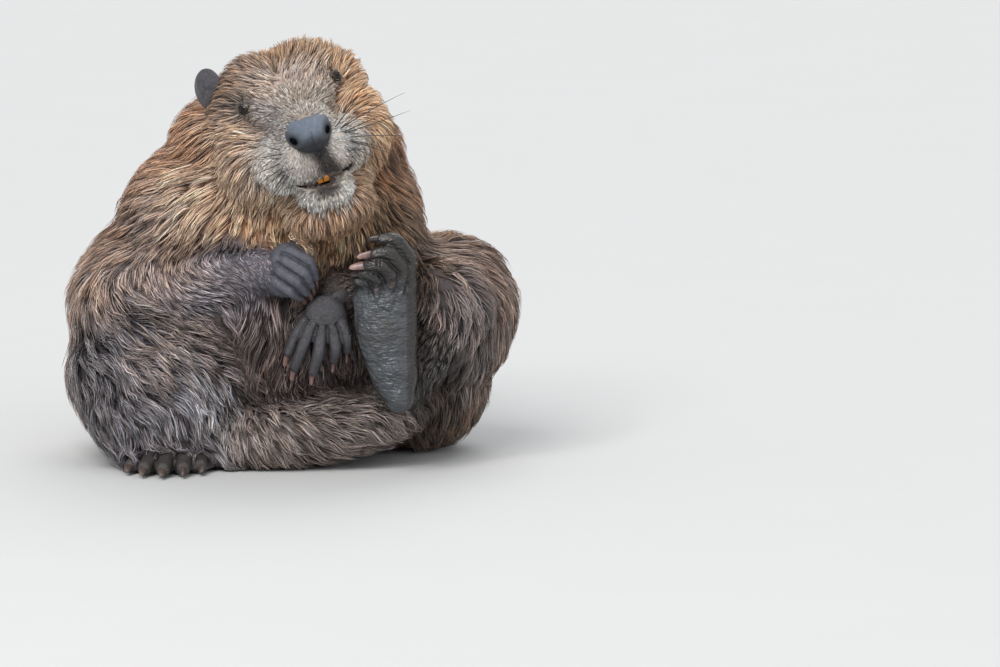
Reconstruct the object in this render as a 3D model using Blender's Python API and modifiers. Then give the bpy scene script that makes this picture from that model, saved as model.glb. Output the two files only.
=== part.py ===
"""A beaver sitting upright and scratching with its raised left hind foot: a life-size still model.

Metres, +Z up. The animal faces -Y, its left side is at +X, and it rests on the floor at Z = 0.
Each furry mass is shaped to the tips of the coat, from balls and tapered limbs that are blended into
one body. Thin cuts then part that body into head, neck, trunk, arms, legs and tail. Hands, feet, ears,
nose, eyes, teeth, claws and the scaly tail blade are pieces of their own.
"""

import math

import bpy
import bmesh
from mathutils import Euler, Matrix, Vector

# ---------------------------------------------------------------- driving dimensions, in metres
GAP = 0.0003  # space left between neighbouring pieces
BODY_VOXEL = 0.0050  # grain of the blended body
HEAD_VOXEL = 0.0030  # grain of the blended head
PAW_VOXEL = 0.0014  # grain of the blended hands and feet
BODY_TRIANGLES = 1220
HEAD_TRIANGLES = 560
PAW_TRIANGLES = 265
NOSE_VOXEL = 0.0013
NOSE_TRIANGLES = 170

EYE_SPACING = 0.076
EYE_RADIUS = 0.0052
EAR_HEIGHT = 0.034
EAR_WIDTH = 0.028
EAR_THICKNESS = 0.0040
EAR_PLACES = {-1: (-0.0600, 0.0540, 0.0190), 1: (0.0500, 0.0700, 0.0020)}
EAR_LEANS = {-1: (-6, 16, -50), 1: (-44, -26, 24)}  # in degrees; the left ear is laid back into the fur
NOSE_WIDTH = 0.039
NOSE_HEIGHT = 0.031
INCISOR_WIDTH = 0.0048
INCISOR_DEPTH = 0.0038
INCISOR_LENGTH = 0.0130
HAND_CLAW = (0.0095, 0.0026)  # length, and half the width at the root
FOOT_CLAW = (0.0120, 0.0036)
TAIL_BLADE_LENGTH = 0.225
TAIL_BLADE_WIDTH = 0.120
TAIL_BLADE_THICKNESS = 0.017

# The head's own frame: its origin is midway between the eyes, +X to its left, +Y backwards, +Z up.
HEAD_PLACE = Vector((0.0015, -0.1250, 0.3110))
HEAD_ROLL = math.radians(18.8)
HEAD_YAW = math.radians(8.0)
HEAD = (
    Matrix.Translation(HEAD_PLACE)
    @ Matrix.Rotation(-HEAD_ROLL, 4, "Y")
    @ Matrix.Rotation(HEAD_YAW, 4, "Z")
)

# ---------------------------------------------------------------- the masses of the body
# Each mass is (centre, half-sizes, turn in degrees about X, Y and Z).
TORSO_MASSES = {
    "ruff": ((-0.002, -0.034, 0.256), (0.100, 0.074, 0.058), (0, 4, 0)),
    "chest": ((-0.016, -0.026, 0.196), (0.129, 0.096, 0.086), (0, -5, 0)),
    "belly": ((-0.033, -0.006, 0.118), (0.153, 0.128, 0.106), (0, 0, 0)),
    "rump": ((0.000, 0.050, 0.070), (0.142, 0.122, 0.073), (0, 0, 0)),
    "tail_base": ((0.080, 0.165, 0.016), (0.043, 0.062, 0.017), (0, 0, -6)),
    "vent_mound": ((0.020, -0.088, 0.030), (0.104, 0.052, 0.033), (0, -9, 6)),
}
SPINE = [
    ((0.010, -0.045, 0.264), 0.066),
    ((0.004, -0.012, 0.244), 0.086),
    ((-0.008, 0.015, 0.196), 0.112),
    ((-0.018, 0.026, 0.136), 0.131),
    ((-0.008, 0.040, 0.092), 0.124),
]
LEG_MASSES = {
    "thigh_right": ((-0.100, -0.040, 0.066), (0.084, 0.098, 0.070), (0, 0, 20)),
    "knee_right": ((-0.103, -0.092, 0.040), (0.066, 0.050, 0.042), (0, 0, 8)),
    "thigh_left": ((0.130, -0.026, 0.118), (0.059, 0.082, 0.069), (0, 0, -14)),
    "buttock_left": ((0.106, 0.010, 0.056), (0.062, 0.080, 0.060), (0, 0, 0)),
}
HEAD_MASSES = {
    "skull": ((0.018, 0.048, -0.010), (0.045, 0.060, 0.048), (0, 0, 0)),
    "temple": ((0.034, 0.044, -0.013), (0.037, 0.046, 0.038), (0, 0, 0)),
    "cheek": ((0.040, 0.028, -0.046), (0.037, 0.046, 0.044), (0, 0, 0)),
    "lip": ((0.0175, -0.029, -0.050), (0.0210, 0.031, 0.0255), (0, 0, 0)),
    "brow": ((0, 0.012, -0.010), (0.0415, 0.046, 0.034), (0, 0, 0)),
    "snout": ((0, -0.024, -0.029), (0.0270, 0.040, 0.0245), (-12, 0, 0)),
    "muzzle": ((0, -0.031, -0.050), (0.0240, 0.0280, 0.0235), (0, 0, 0)),
    "jowl": ((0.031, -0.012, -0.052), (0.0245, 0.034, 0.028), (0, 0, 0)),
    "chin": ((0, -0.018, -0.084), (0.0295, 0.034, 0.0175), (6, 0, 0)),
    "throat": ((0, 0.030, -0.080), (0.052, 0.050, 0.036), (0, 0, 0)),
    "bib": ((0, -0.004, -0.100), (0.042, 0.040, 0.028), (0, 0, 0)),
}
PAIRED = ("skull", "temple", "cheek", "lip", "jowl")  # these have a twin across the head's midline

# ---------------------------------------------------------------- limbs, as joints and half-thicknesses
SHOULDER_RIGHT = Vector((-0.086, -0.045, 0.205))
ELBOW_RIGHT = Vector((-0.096, -0.082, 0.150))
WRIST_RIGHT = Vector((-0.018, -0.128, 0.1665))
SHOULDER_LEFT = Vector((0.072, -0.045, 0.205))
ELBOW_LEFT = Vector((0.092, -0.078, 0.146))
WRIST_LEFT = Vector((0.0400, -0.123, 0.1475))
KNEE_LEFT = Vector((0.128, -0.082, 0.130))
ANKLE_LEFT = Vector((0.096, -0.126, 0.068))
TAIL_ROOT = Vector((0.058, 0.080, 0.040))
TAIL_WAIST = Vector((0.084, 0.195, 0.016))
TAIL_DIRECTION = math.radians(6)  # the blade's swing from +Y towards +X


# ---------------------------------------------------------------- shapes
def collection(name, hidden=False):
    """A collection under the scene, made once."""
    found = bpy.data.collections.get(name)
    if found is None:
        found = bpy.data.collections.new(name)
        bpy.context.scene.collection.children.link(found)
        found.hide_render = hidden
    return found


def helper(name, mesh):
    """An object in the cutters' collection, which isn't rendered."""
    made = bpy.data.objects.new(name, mesh)
    collection("cutters", hidden=True).objects.link(made)
    made.hide_render = True
    made.display_type = "WIRE"
    return made


def to_mesh(bm, name):
    mesh = bpy.data.meshes.new(name)
    bm.to_mesh(mesh)
    bm.free()
    return mesh


def settled(made):
    """The object with its modifiers applied."""
    bpy.context.view_layer.update()
    graph = bpy.context.evaluated_depsgraph_get()
    mesh = bpy.data.meshes.new_from_object(made.evaluated_get(graph))
    old = made.data
    made.modifiers.clear()
    made.data = mesh
    bpy.data.meshes.remove(old)
    return made


def ball(centre, half_sizes, turn=(0, 0, 0), frame=Matrix(), rounds=24):
    """A closed ellipsoid."""
    bm = bmesh.new()
    bmesh.ops.create_uvsphere(bm, u_segments=rounds, v_segments=rounds // 2, radius=1)
    spin = Euler([math.radians(a) for a in turn]).to_matrix().to_4x4()
    size = Matrix.Diagonal((*half_sizes, 1))
    bm.transform(frame @ Matrix.Translation(centre) @ spin @ size)
    return helper("ball", to_mesh(bm, "ball"))


def limb(points, thicknesses, sides=3, frame=Matrix(), steps=5):
    """A tapered tube along a smooth curve, with a ball at each end."""
    line = bpy.data.curves.new("limb", "CURVE")
    line.dimensions = "3D"
    line.bevel_depth = 1
    line.bevel_resolution = sides
    line.resolution_u = steps
    line.use_fill_caps = True
    spline = line.splines.new("BEZIER")
    spline.bezier_points.add(len(points) - 1)
    for knot, place, half in zip(spline.bezier_points, points, thicknesses):
        knot.co = frame @ Vector(place)
        knot.radius = half
        knot.handle_left_type = knot.handle_right_type = "AUTO"
    tube = helper("limb", line)
    bpy.context.view_layer.update()
    graph = bpy.context.evaluated_depsgraph_get()
    mesh = bpy.data.meshes.new_from_object(tube.evaluated_get(graph))
    bm = bmesh.new()
    bm.from_mesh(mesh)
    bmesh.ops.remove_doubles(bm, verts=bm.verts, dist=1e-5)
    bmesh.ops.recalc_face_normals(bm, faces=bm.faces)
    made = helper("limb", to_mesh(bm, "limb"))
    bpy.data.objects.remove(tube)
    ends = [ball(points[i], [thicknesses[i]] * 3, frame=frame, rounds=12) for i in (0, -1)]
    return [made, *ends]


def blended(name, pieces, voxel, triangles, smoothing=6):
    """One closed skin round all the pieces, smoothed, then thinned to about that many triangles."""
    bm = bmesh.new()
    for piece in pieces:
        bm.from_mesh(piece.data)
        bpy.data.objects.remove(piece)
    made = helper(name, to_mesh(bm, name))
    remesh = made.modifiers.new("blend", "REMESH")
    remesh.mode = "VOXEL"
    remesh.voxel_size = voxel
    if smoothing:
        smooth = made.modifiers.new("smooth", "SMOOTH")
        smooth.factor = 0.5
        smooth.iterations = smoothing
    settled(made)
    count = sum(len(p.vertices) - 2 for p in made.data.polygons)
    if triangles < count:
        thin = made.modifiers.new("thin", "DECIMATE")
        thin.ratio = triangles / count
        settled(made)
    return made


def grown(made, by=GAP):
    """A copy of a closed piece, larger all round by a small amount."""
    copy = helper(made.name + "_grown", made.data.copy())
    copy.matrix_world = made.matrix_world
    push = copy.modifiers.new("push", "DISPLACE")
    push.mid_level = 0
    push.strength = by
    return settled(copy)


def combined(first, second, operation):
    """The first piece after a Boolean with the second."""
    step = first.modifiers.new(operation.lower(), "BOOLEAN")
    step.operation = operation
    step.object = second
    return settled(first)


def largest_shell(made):
    """Drops the slivers that a cut can leave loose."""
    bm = bmesh.new()
    bm.from_mesh(made.data)
    bmesh.ops.triangulate(bm, faces=bm.faces)
    bmesh.ops.dissolve_degenerate(bm, edges=bm.edges, dist=2e-5)
    left = set(bm.verts)
    shells = []
    while left:
        shell = {left.pop()}
        edge = set(shell)
        while edge:
            edge = {e.other_vert(v) for v in edge for e in v.link_edges} - shell
            shell |= edge
        left -= shell
        shells.append(shell)
    shells.sort(key=len)
    bmesh.ops.delete(bm, geom=[v for s in shells[:-1] for v in s], context="VERTS")
    old = made.data
    made.data = to_mesh(bm, made.name)
    bpy.data.meshes.remove(old)
    return made


# ---------------------------------------------------------------- materials
FINISHES = {
    "fur_brown": ((0.115, 0.068, 0.040), 0.75),
    "fur_dark": ((0.060, 0.045, 0.037), 0.70),
    "fur_tan": ((0.300, 0.180, 0.095), 0.80),
    "bare_skin": ((0.050, 0.050, 0.056), 0.45),
    "nose_skin": ((0.120, 0.140, 0.170), 0.40),
    "eye_black": ((0.010, 0.008, 0.007), 0.08),
    "claw_horn": ((0.130, 0.085, 0.070), 0.40),
    "tooth_orange": ((0.620, 0.210, 0.025), 0.30),
    "tail_scales": ((0.055, 0.050, 0.048), 0.55),
}


def finish(name):
    """The named material, made once."""
    found = bpy.data.materials.get(name)
    if found is None:
        colour, roughness = FINISHES[name]
        found = bpy.data.materials.new(name)
        found.use_nodes = True
        shader = found.node_tree.nodes["Principled BSDF"]
        shader.inputs["Base Color"].default_value = (*colour, 1)
        shader.inputs["Roughness"].default_value = roughness
        found.diffuse_color = (*colour, 1)
    return found


def show(made, name, material):
    """Makes a helper one of the model's own pieces."""
    collection("cutters").objects.unlink(made)
    collection("beaver").objects.link(made)
    made.hide_render = False
    made.display_type = "TEXTURED"
    made.name = name
    made.data.name = name
    made.data.materials.clear()
    made.data.materials.append(finish(material))
    made.data.shade_smooth()
    made.data.set_sharp_from_angle(angle=math.radians(50))
    return made


# ---------------------------------------------------------------- the furry body
def body_pieces():
    """All the furry masses, head included, as one list of overlapping closed pieces."""
    pieces = [ball(*mass) for mass in (*TORSO_MASSES.values(), *LEG_MASSES.values())]
    pieces += limb([place for place, _ in SPINE], [half for _, half in SPINE], steps=6)
    pieces += limb(
        [SHOULDER_RIGHT, ELBOW_RIGHT, ELBOW_RIGHT.lerp(WRIST_RIGHT, 0.6), WRIST_RIGHT],
        [0.040, 0.031, 0.0225, 0.0155],
    )
    pieces += limb(
        [SHOULDER_LEFT, ELBOW_LEFT, ELBOW_LEFT.lerp(WRIST_LEFT, 0.6), WRIST_LEFT],
        [0.040, 0.031, 0.0215, 0.0150],
    )
    pieces += limb([KNEE_LEFT, KNEE_LEFT.lerp(ANKLE_LEFT, 0.6), ANKLE_LEFT], [0.045, 0.031, 0.020])
    pieces += limb([TAIL_ROOT, TAIL_ROOT.lerp(TAIL_WAIST, 0.55), TAIL_WAIST], [0.060, 0.036, 0.014])
    for name, (centre, half, turn) in HEAD_MASSES.items():
        pieces.append(ball(centre, half, turn, HEAD))
        if name in PAIRED:
            pieces.append(ball((-centre[0], *centre[1:]), half, turn, HEAD))
    return pieces


# ---------------------------------------------------------------- hands and feet
def digit(knots, thick, tip):
    """A finger or toe: its knots from the knuckle to the claw's root."""
    shrink = [thick + (tip - thick) * i / (len(knots) - 1) for i in range(len(knots))]
    return limb(knots, shrink, sides=2, steps=3)


HANDS = {
    "hand_right": {
        "wrist": ((-0.0240, -0.1240, 0.1650), 0.0135),
        "masses": [
            ((0.0010, -0.1360, 0.1740), (0.0165, 0.0120, 0.0165), (0, 24, 0)),
            ((-0.0050, -0.1340, 0.1560), (0.0150, 0.0120, 0.0110), (0, 20, 0)),
        ],
        "digits": [
            [(0.0020, -0.1420, 0.1830), (0.0165, -0.1480, 0.1770), (0.0215, -0.1420, 0.1620)],
            [(-0.0010, -0.1460, 0.1760), (0.0130, -0.1520, 0.1680), (0.0185, -0.1450, 0.1560)],
            [(-0.0050, -0.1450, 0.1680), (0.0080, -0.1510, 0.1600), (0.0150, -0.1450, 0.1510)],
            [(-0.0090, -0.1420, 0.1590), (0.0020, -0.1460, 0.1520), (0.0090, -0.1410, 0.1460)],
            [(-0.0030, -0.1300, 0.1600), (0.0090, -0.1310, 0.1620), (0.0160, -0.1310, 0.1580)],
        ],
        "thick": 0.0062,
        "tip": 0.0044,
        "claw_turn": (-0.3, 1.0, -0.5),
    },
    "hand_left": {
        "wrist": ((0.0410, -0.1230, 0.1460), 0.0130),
        "masses": [((0.0310, -0.1360, 0.1290), (0.0175, 0.0105, 0.0185), (0, -22, 0))],
        "digits": [
            [(0.0190, -0.1400, 0.1210), (0.0120, -0.1470, 0.1050), (0.0060, -0.1430, 0.0890)],
            [(0.0280, -0.1430, 0.1170), (0.0250, -0.1500, 0.1010), (0.0210, -0.1460, 0.0860)],
            [(0.0370, -0.1430, 0.1180), (0.0390, -0.1490, 0.1060), (0.0375, -0.1450, 0.0960)],
            [(0.0440, -0.1390, 0.1230), (0.0480, -0.1430, 0.1120), (0.0480, -0.1400, 0.1030)],
            [(0.0170, -0.1330, 0.1290), (0.0070, -0.1370, 0.1140), (0.0010, -0.1370, 0.1000)],
        ],
        "thick": 0.0058,
        "tip": 0.0044,
        "claw_turn": (-0.05, 0.05, -1.0),
    },
}
FEET = {
    "foot_left": {
        "masses": [
            ((0.0900, -0.1470, 0.0680), (0.0135, 0.0130, 0.0165), (0, 0, 0)),
            ((0.0870, -0.1480, 0.0870), (0.0185, 0.0130, 0.0280), (0, -6, 0)),
            ((0.0810, -0.1480, 0.1160), (0.0245, 0.0130, 0.0360), (0, -4, 0)),
            ((0.0775, -0.1490, 0.1450), (0.0250, 0.0110, 0.0280), (-8, 0, 0)),
            ((0.0830, -0.1560, 0.1700), (0.0190, 0.0095, 0.0200), (0, 0, 0)),
        ],
        "digits": [
            [(0.097, -0.148, 0.156), (0.097, -0.155, 0.181), (0.087, -0.162, 0.195), (0.077, -0.163, 0.196)],
            [(0.089, -0.151, 0.156), (0.091, -0.161, 0.174), (0.082, -0.170, 0.186), (0.071, -0.171, 0.185)],
            [(0.080, -0.152, 0.156), (0.083, -0.164, 0.169), (0.075, -0.172, 0.177), (0.066, -0.171, 0.1762)],
            [(0.071, -0.151, 0.157), (0.073, -0.161, 0.165), (0.067, -0.167, 0.1698), (0.061, -0.165, 0.1688)],
            [(0.063, -0.148, 0.155), (0.064, -0.156, 0.161), (0.060, -0.160, 0.1632), (0.057, -0.158, 0.1616)],
        ],
        "thick": 0.0086,
        "tip": 0.0052,
        "claw_turn": (-1.0, 0.0, -0.30),
    },
    "foot_right": {
        "masses": [
            ((-0.0860, -0.0290, 0.0130), (0.0190, 0.0280, 0.0140), (0, 0, 0)),
            ((-0.0910, -0.0780, 0.0120), (0.0290, 0.0400, 0.0130), (0, 0, 10)),
            ((-0.0940, -0.1190, 0.0050), (0.0360, 0.0260, 0.0050), (0, 0, 10)),
        ],
        "digits": [
            [(-0.108, -0.085, 0.011), (-0.1190, -0.110, 0.011), (-0.1270, -0.133, 0.0072)],
            [(-0.101, -0.093, 0.012), (-0.1100, -0.122, 0.012), (-0.1160, -0.149, 0.0072)],
            [(-0.094, -0.097, 0.012), (-0.0980, -0.128, 0.012), (-0.1010, -0.156, 0.0072)],
            [(-0.085, -0.095, 0.012), (-0.0850, -0.125, 0.012), (-0.0850, -0.151, 0.0072)],
            [(-0.077, -0.088, 0.011), (-0.0730, -0.113, 0.011), (-0.0710, -0.135, 0.0072)],
        ],
        "thick": 0.0088,
        "tip": 0.0060,
        "claw_turn": (0.0, -1.0, -0.25),
    },
}


def paw(name, data):
    """A hand or foot, blended from its masses and digits."""
    pieces = [ball(*mass) for mass in data["masses"]]
    if "wrist" in data:
        centre, half = data["wrist"]
        pieces.append(ball(centre, [half] * 3))
    for knots in data["digits"]:
        pieces += digit([Vector(knot) for knot in knots], data["thick"], data["tip"])
    return blended(name, pieces, PAW_VOXEL, PAW_TRIANGLES, smoothing=5)


def claw(knots, data, length, width):
    """A curved, tapered claw that grows from the end of a digit."""
    root = Vector(knots[-1])
    tip = data["tip"]
    along = (root - Vector(knots[-2])).normalized()
    down = (along * 0.6 + Vector(data["claw_turn"]).normalized() * 0.4).normalized()
    start = root - along * 0.3 * tip
    middle = root + along * (0.6 * tip + 0.35 * length)
    point = root + along * 0.6 * tip + down * length
    tube, *ends = limb([start, middle, point], [width, width * 0.78, width * 0.28], sides=0, steps=2)
    for end in ends:
        bpy.data.objects.remove(end)
    return tube


# ---------------------------------------------------------------- face, ears and tail
def eye(side):
    return ball((side * EYE_SPACING / 2, -0.0010, 0), [EYE_RADIUS] * 3, frame=HEAD, rounds=10)


def nose():
    """The bare nose pad: a broad wedge, widest at the top, with a nostril on each side."""
    wide = NOSE_WIDTH / 2
    tall = NOSE_HEIGHT / 2
    pieces = [
        ball((0, -0.0545, -0.0210), (0.86 * wide, 0.0120, 0.66 * tall), (-24, 0, 0), HEAD),
        ball((0, -0.0585, -0.0310), (0.62 * wide, 0.0105, 0.72 * tall), (0, 0, 0), HEAD),
    ]
    for side in (-1, 1):
        wing = (side * 0.64 * wide, -0.0545, -0.0275)
        pieces.append(ball(wing, (0.36 * wide, 0.0100, 0.0090), (0, side * 18, 0), HEAD))
    pad = blended("nose", pieces, NOSE_VOXEL, NOSE_TRIANGLES, smoothing=3)
    for side in (-1, 1):
        hole = (side * 0.86 * wide, -0.0625, -0.0320)
        combined(pad, ball(hole, (0.0030, 0.0048, 0.0042), (0, side * 30, 0), HEAD, 8), "DIFFERENCE")
    return largest_shell(pad)


def incisor(side):
    """One upper front tooth: a curved chisel that narrows a little to its edge."""
    bm = bmesh.new()
    bmesh.ops.create_cube(bm, size=1)
    bmesh.ops.subdivide_edges(bm, edges=bm.edges, cuts=1, use_grid_fill=True)
    for vertex in bm.verts:
        down = 0.5 - vertex.co.z
        vertex.co.y += 0.9 * down * down
        vertex.co.x *= 1 - 0.12 * down
    size = Matrix.Diagonal((INCISOR_WIDTH, INCISOR_DEPTH, INCISOR_LENGTH, 1))
    place = Matrix.Translation((side * (INCISOR_WIDTH / 2 + GAP), -0.0480, -0.0665))
    bm.transform(HEAD @ place @ size)
    return helper("incisor", to_mesh(bm, "incisor"))


def ear(side):
    """A small round ear: a cupped disc that stands out behind the eye and leans inwards."""
    bm = bmesh.new()
    bmesh.ops.create_uvsphere(bm, u_segments=12, v_segments=7, radius=1)
    for vertex in bm.verts:
        x, y, z = vertex.co
        vertex.co.y = y + 1.5 * (x * x + z * z)  # the cup, open to the front
    size = Matrix.Diagonal((EAR_WIDTH / 2, EAR_THICKNESS / 2, EAR_HEIGHT / 2, 1))
    lean = Euler([math.radians(angle) for angle in EAR_LEANS[side]]).to_matrix().to_4x4()
    bm.transform(HEAD @ Matrix.Translation(EAR_PLACES[side]) @ lean @ size)
    return helper("ear", to_mesh(bm, "ear"))


def tail_blade():
    """The scaly blade: a flat paddle with a round tip and a narrower root, thickest near the root."""
    bm = bmesh.new()
    bmesh.ops.create_uvsphere(bm, u_segments=14, v_segments=12, radius=1)
    bm.transform(Matrix.Rotation(math.radians(90), 4, "X"))
    for vertex in bm.verts:
        x, y, z = vertex.co
        along = (y + 1) / 2
        half = (1 - abs(y) ** 2.8) ** 0.48 * (0.66 + 0.34 * math.sin(math.pi * min(1, 0.2 + 0.6 * along)))
        ring = math.hypot(x, z)
        if ring > 1e-6:
            vertex.co.x = x / ring * half
            vertex.co.z = z / ring * half * (1.3 - 0.7 * along)
    size = Matrix.Diagonal((TAIL_BLADE_WIDTH / 2, TAIL_BLADE_LENGTH / 2, TAIL_BLADE_THICKNESS / 2, 1))
    swing = Matrix.Rotation(-TAIL_DIRECTION, 4, "Z")
    middle = TAIL_WAIST + swing @ Vector((0, TAIL_BLADE_LENGTH / 2 - 0.014, 0))
    middle.z = TAIL_BLADE_THICKNESS / 2 - 0.0012
    bm.transform(Matrix.Translation(middle) @ swing @ size)
    return helper("tail_blade", to_mesh(bm, "tail_blade"))


# ---------------------------------------------------------------- cutting shapes
def hull(balls, frame=Matrix(), detail=1):
    """A maker of the convex shape round a few (centre, radius) balls, for a given margin."""

    def made(margin):
        bm = bmesh.new()
        for centre, half in balls:
            place = frame @ Matrix.Translation(centre)
            bmesh.ops.create_icosphere(bm, subdivisions=detail, radius=half + margin, matrix=place)
        bmesh.ops.delete(bm, geom=bm.edges[:], context="EDGES_FACES")
        result = bmesh.ops.convex_hull(bm, input=bm.verts)
        spare = {v for key in ("geom_interior", "geom_unused") for v in result[key]}
        spare = [v for v in spare if isinstance(v, bmesh.types.BMVert)]
        bmesh.ops.delete(bm, geom=spare, context="VERTS")
        bmesh.ops.recalc_face_normals(bm, faces=bm.faces)
        return helper("zone", to_mesh(bm, "zone"))

    return made


def beyond(point, normal, frame=Matrix()):
    """A maker of the half-space past a plane, as a large cube, for a given margin."""

    def made(margin):
        bm = bmesh.new()
        normal_unit = Vector(normal).normalized()
        turn = normal_unit.to_track_quat("Z", "Y").to_matrix().to_4x4()
        place = Matrix.Translation(Vector(point) - margin * normal_unit) @ turn
        bmesh.ops.create_cube(bm, size=1, matrix=frame @ place @ Matrix.Translation((0, 0, 0.5)))
        return helper("zone", to_mesh(bm, "zone"))

    return made


HEAD_ZONE = hull([((0, 0.040, -0.022), 0.088), ((0, -0.020, -0.048), 0.062)], HEAD, detail=2)
HEAD_MARGIN = 0.012  # the finer head is first cut this much larger, thinned, then cut to size
JAW_ZONE = beyond((0, -0.050, -0.0735), (0, 0.1, -1), HEAD)
MOUTH = ((0, -0.0480, -0.0735), (0.0225, 0.0300, 0.0034), (4, 0, 0))  # the slit between lip and chin
ZONES = {
    "neck": beyond((0, 0, 0.240), (0, -0.16, 1)),
    "forearm_right": hull([(ELBOW_RIGHT, 0.040), (WRIST_RIGHT, 0.026)]),
    "upper_arm_right": hull([(SHOULDER_RIGHT, 0.046), (ELBOW_RIGHT, 0.042)]),
    "forearm_left": hull([(ELBOW_LEFT, 0.039), (WRIST_LEFT, 0.026)]),
    "upper_arm_left": hull([(SHOULDER_LEFT, 0.046), (ELBOW_LEFT, 0.041)]),
    "tail_root": hull([(TAIL_ROOT + Vector((0.017, 0.060, -0.008)), 0.056), (TAIL_WAIST, 0.056)]),
    "shank_left": hull([(KNEE_LEFT.lerp(ANKLE_LEFT, 0.5), 0.042), (ANKLE_LEFT, 0.032)]),
    "thigh_left": hull([((0.146, -0.028, 0.118), 0.094), ((0.134, 0.010, 0.050), 0.090)]),
    "thigh_right": hull([((-0.120, -0.034, 0.062), 0.108), ((-0.110, -0.092, 0.040), 0.072)]),
}
SHANK_RIGHT_ZONE = beyond((0, 0, 0.036), (0, 0, -1))
FOOT_RIGHT_TOP = 0.0240
FOOT_RIGHT_ROOM = hull(
    [((-0.087, -0.026, 0), 0.034), ((-0.096, -0.085, 0), 0.042), ((-0.098, -0.160, 0), 0.048)],
    detail=2,
)
# Where a bare end meets its limb: a point on the cut and the way from the limb to the end.
ENDS = {
    "hand_right": ("forearm_right", (-0.019, -0.127, 0.166), (0.85, -0.50, 0.15)),
    "hand_left": ("forearm_left", (0.0385, -0.125, 0.143), (-0.75, -0.35, -0.55)),
    "foot_left": ("shank_left", (0.090, -0.1365, 0.080), (0, -1, 0)),
    "tail_blade": ("tail_root", TAIL_WAIST, (0.1, 1, 0)),
}


def peeled(rest, name, zone):
    """Parts what lies in a zone from the rest, and leaves the gap between the two."""
    piece = helper(name, rest.data.copy())
    combined(piece, zone(0), "INTERSECT")
    combined(rest, zone(GAP), "DIFFERENCE")
    return largest_shell(piece)


def parted(near, far, point, normal):
    """Cuts two overlapping pieces on one plane, so that they meet face to face."""
    past = beyond(point, normal)
    combined(near, past(GAP), "DIFFERENCE")
    combined(far, past(0), "INTERSECT")
    largest_shell(near)
    largest_shell(far)


def make_room(made, others):
    """Cuts room from the piece for each of the others."""
    for other in others:
        combined(made, grown(other), "DIFFERENCE")
    return largest_shell(made)


# ---------------------------------------------------------------- the whole animal
def make_paws(floor):
    """The four bare hands and feet, each with its five claws."""
    paws = {}
    claws = {}
    for name, data in {**HANDS, **FEET}.items():
        length, width = HAND_CLAW if name in HANDS else FOOT_CLAW
        paws[name] = paw(name, data)
        own = [claw(knots, data, length, width) for knots in data["digits"]]
        claws.update({f"claw_{name}_{number}": made for number, made in enumerate(own, 1)})
        if name == "foot_right":
            combined(paws[name], floor, "DIFFERENCE")
        make_room(paws[name], own)
    return paws, claws


def make_head(face_pieces):
    """The head, from a finer blend of the same masses as the body, and its lower jaw."""
    head = blended("head", body_pieces(), HEAD_VOXEL, 10**9, smoothing=5)
    combined(head, HEAD_ZONE(HEAD_MARGIN), "INTERSECT")
    thin = head.modifiers.new("thin", "DECIMATE")
    thin.ratio = HEAD_TRIANGLES / sum(len(p.vertices) - 2 for p in head.data.polygons)
    settled(head)
    combined(head, HEAD_ZONE(0), "INTERSECT")
    combined(head, ball(*MOUTH, HEAD, rounds=12), "DIFFERENCE")
    make_room(head, face_pieces)
    jaw = peeled(head, "lower_jaw", JAW_ZONE)
    return largest_shell(head), jaw


def stand_on_origin(pieces):
    """Moves the whole model so that its origin is under the middle of its box, on the floor."""
    places = [vertex.co for made in pieces for vertex in made.data.vertices]
    low = [min(place[axis] for place in places) for axis in range(3)]
    high = [max(place[axis] for place in places) for axis in range(3)]
    shift = Matrix.Translation((-(low[0] + high[0]) / 2, -(low[1] + high[1]) / 2, -low[2]))
    for made in pieces:
        made.data.transform(shift)


def main():
    for old in list(bpy.data.objects):
        bpy.data.objects.remove(old)

    floor = beyond((0, 0, 0), (0, 0, -1))(0)
    eyes = {"eye_right": eye(-1), "eye_left": eye(1)}
    ears = {"ear_right": ear(-1), "ear_left": ear(1)}
    teeth = {"incisor_right": incisor(-1), "incisor_left": incisor(1)}
    pad = nose()
    blade = tail_blade()
    combined(blade, floor, "DIFFERENCE")
    paws, claws = make_paws(floor)
    head, jaw = make_head([*ears.values(), *eyes.values(), *teeth.values(), pad])

    body = blended("body", body_pieces(), BODY_VOXEL, BODY_TRIANGLES, smoothing=8)
    combined(body, floor, "DIFFERENCE")
    combined(body, HEAD_ZONE(GAP), "DIFFERENCE")
    room = combined(FOOT_RIGHT_ROOM(0), beyond((0, 0, FOOT_RIGHT_TOP), (0, 0, -1))(GAP), "INTERSECT")
    combined(body, room, "DIFFERENCE")
    combined(paws["foot_right"], beyond((0, 0, FOOT_RIGHT_TOP), (0, 0, 1))(0), "DIFFERENCE")
    largest_shell(paws["foot_right"])
    flesh = {name: peeled(body, name, zone) for name, zone in ZONES.items()}
    flesh["shank_right"] = peeled(flesh["thigh_right"], "shank_right", SHANK_RIGHT_ZONE)
    flesh["trunk"] = make_room(body, [paws["hand_right"], paws["hand_left"]])
    bare = {**paws, "tail_blade": blade}
    for name, (limb_name, point, normal) in ENDS.items():
        parted(flesh[limb_name], bare[name], point, normal)

    for name, made in flesh.items():
        show(made, name, "fur_brown")
    show(head, "head", "fur_tan")
    show(jaw, "lower_jaw", "fur_tan")
    for name, made in paws.items():
        show(made, name, "bare_skin")
    for name, made in claws.items():
        show(made, name, "claw_horn")
    for name, made in eyes.items():
        show(made, name, "eye_black")
    for name, made in ears.items():
        show(made, name, "bare_skin")
    for name, made in teeth.items():
        show(made, name, "tooth_orange")
    show(pad, "nose", "nose_skin")
    show(blade, "tail_blade", "tail_scales")
    stand_on_origin(collection("beaver").objects)


main()
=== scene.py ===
import math

import bpy
import numpy as np
from mathutils import Euler, Matrix, Vector
from mathutils.bvhtree import BVHTree


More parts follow.
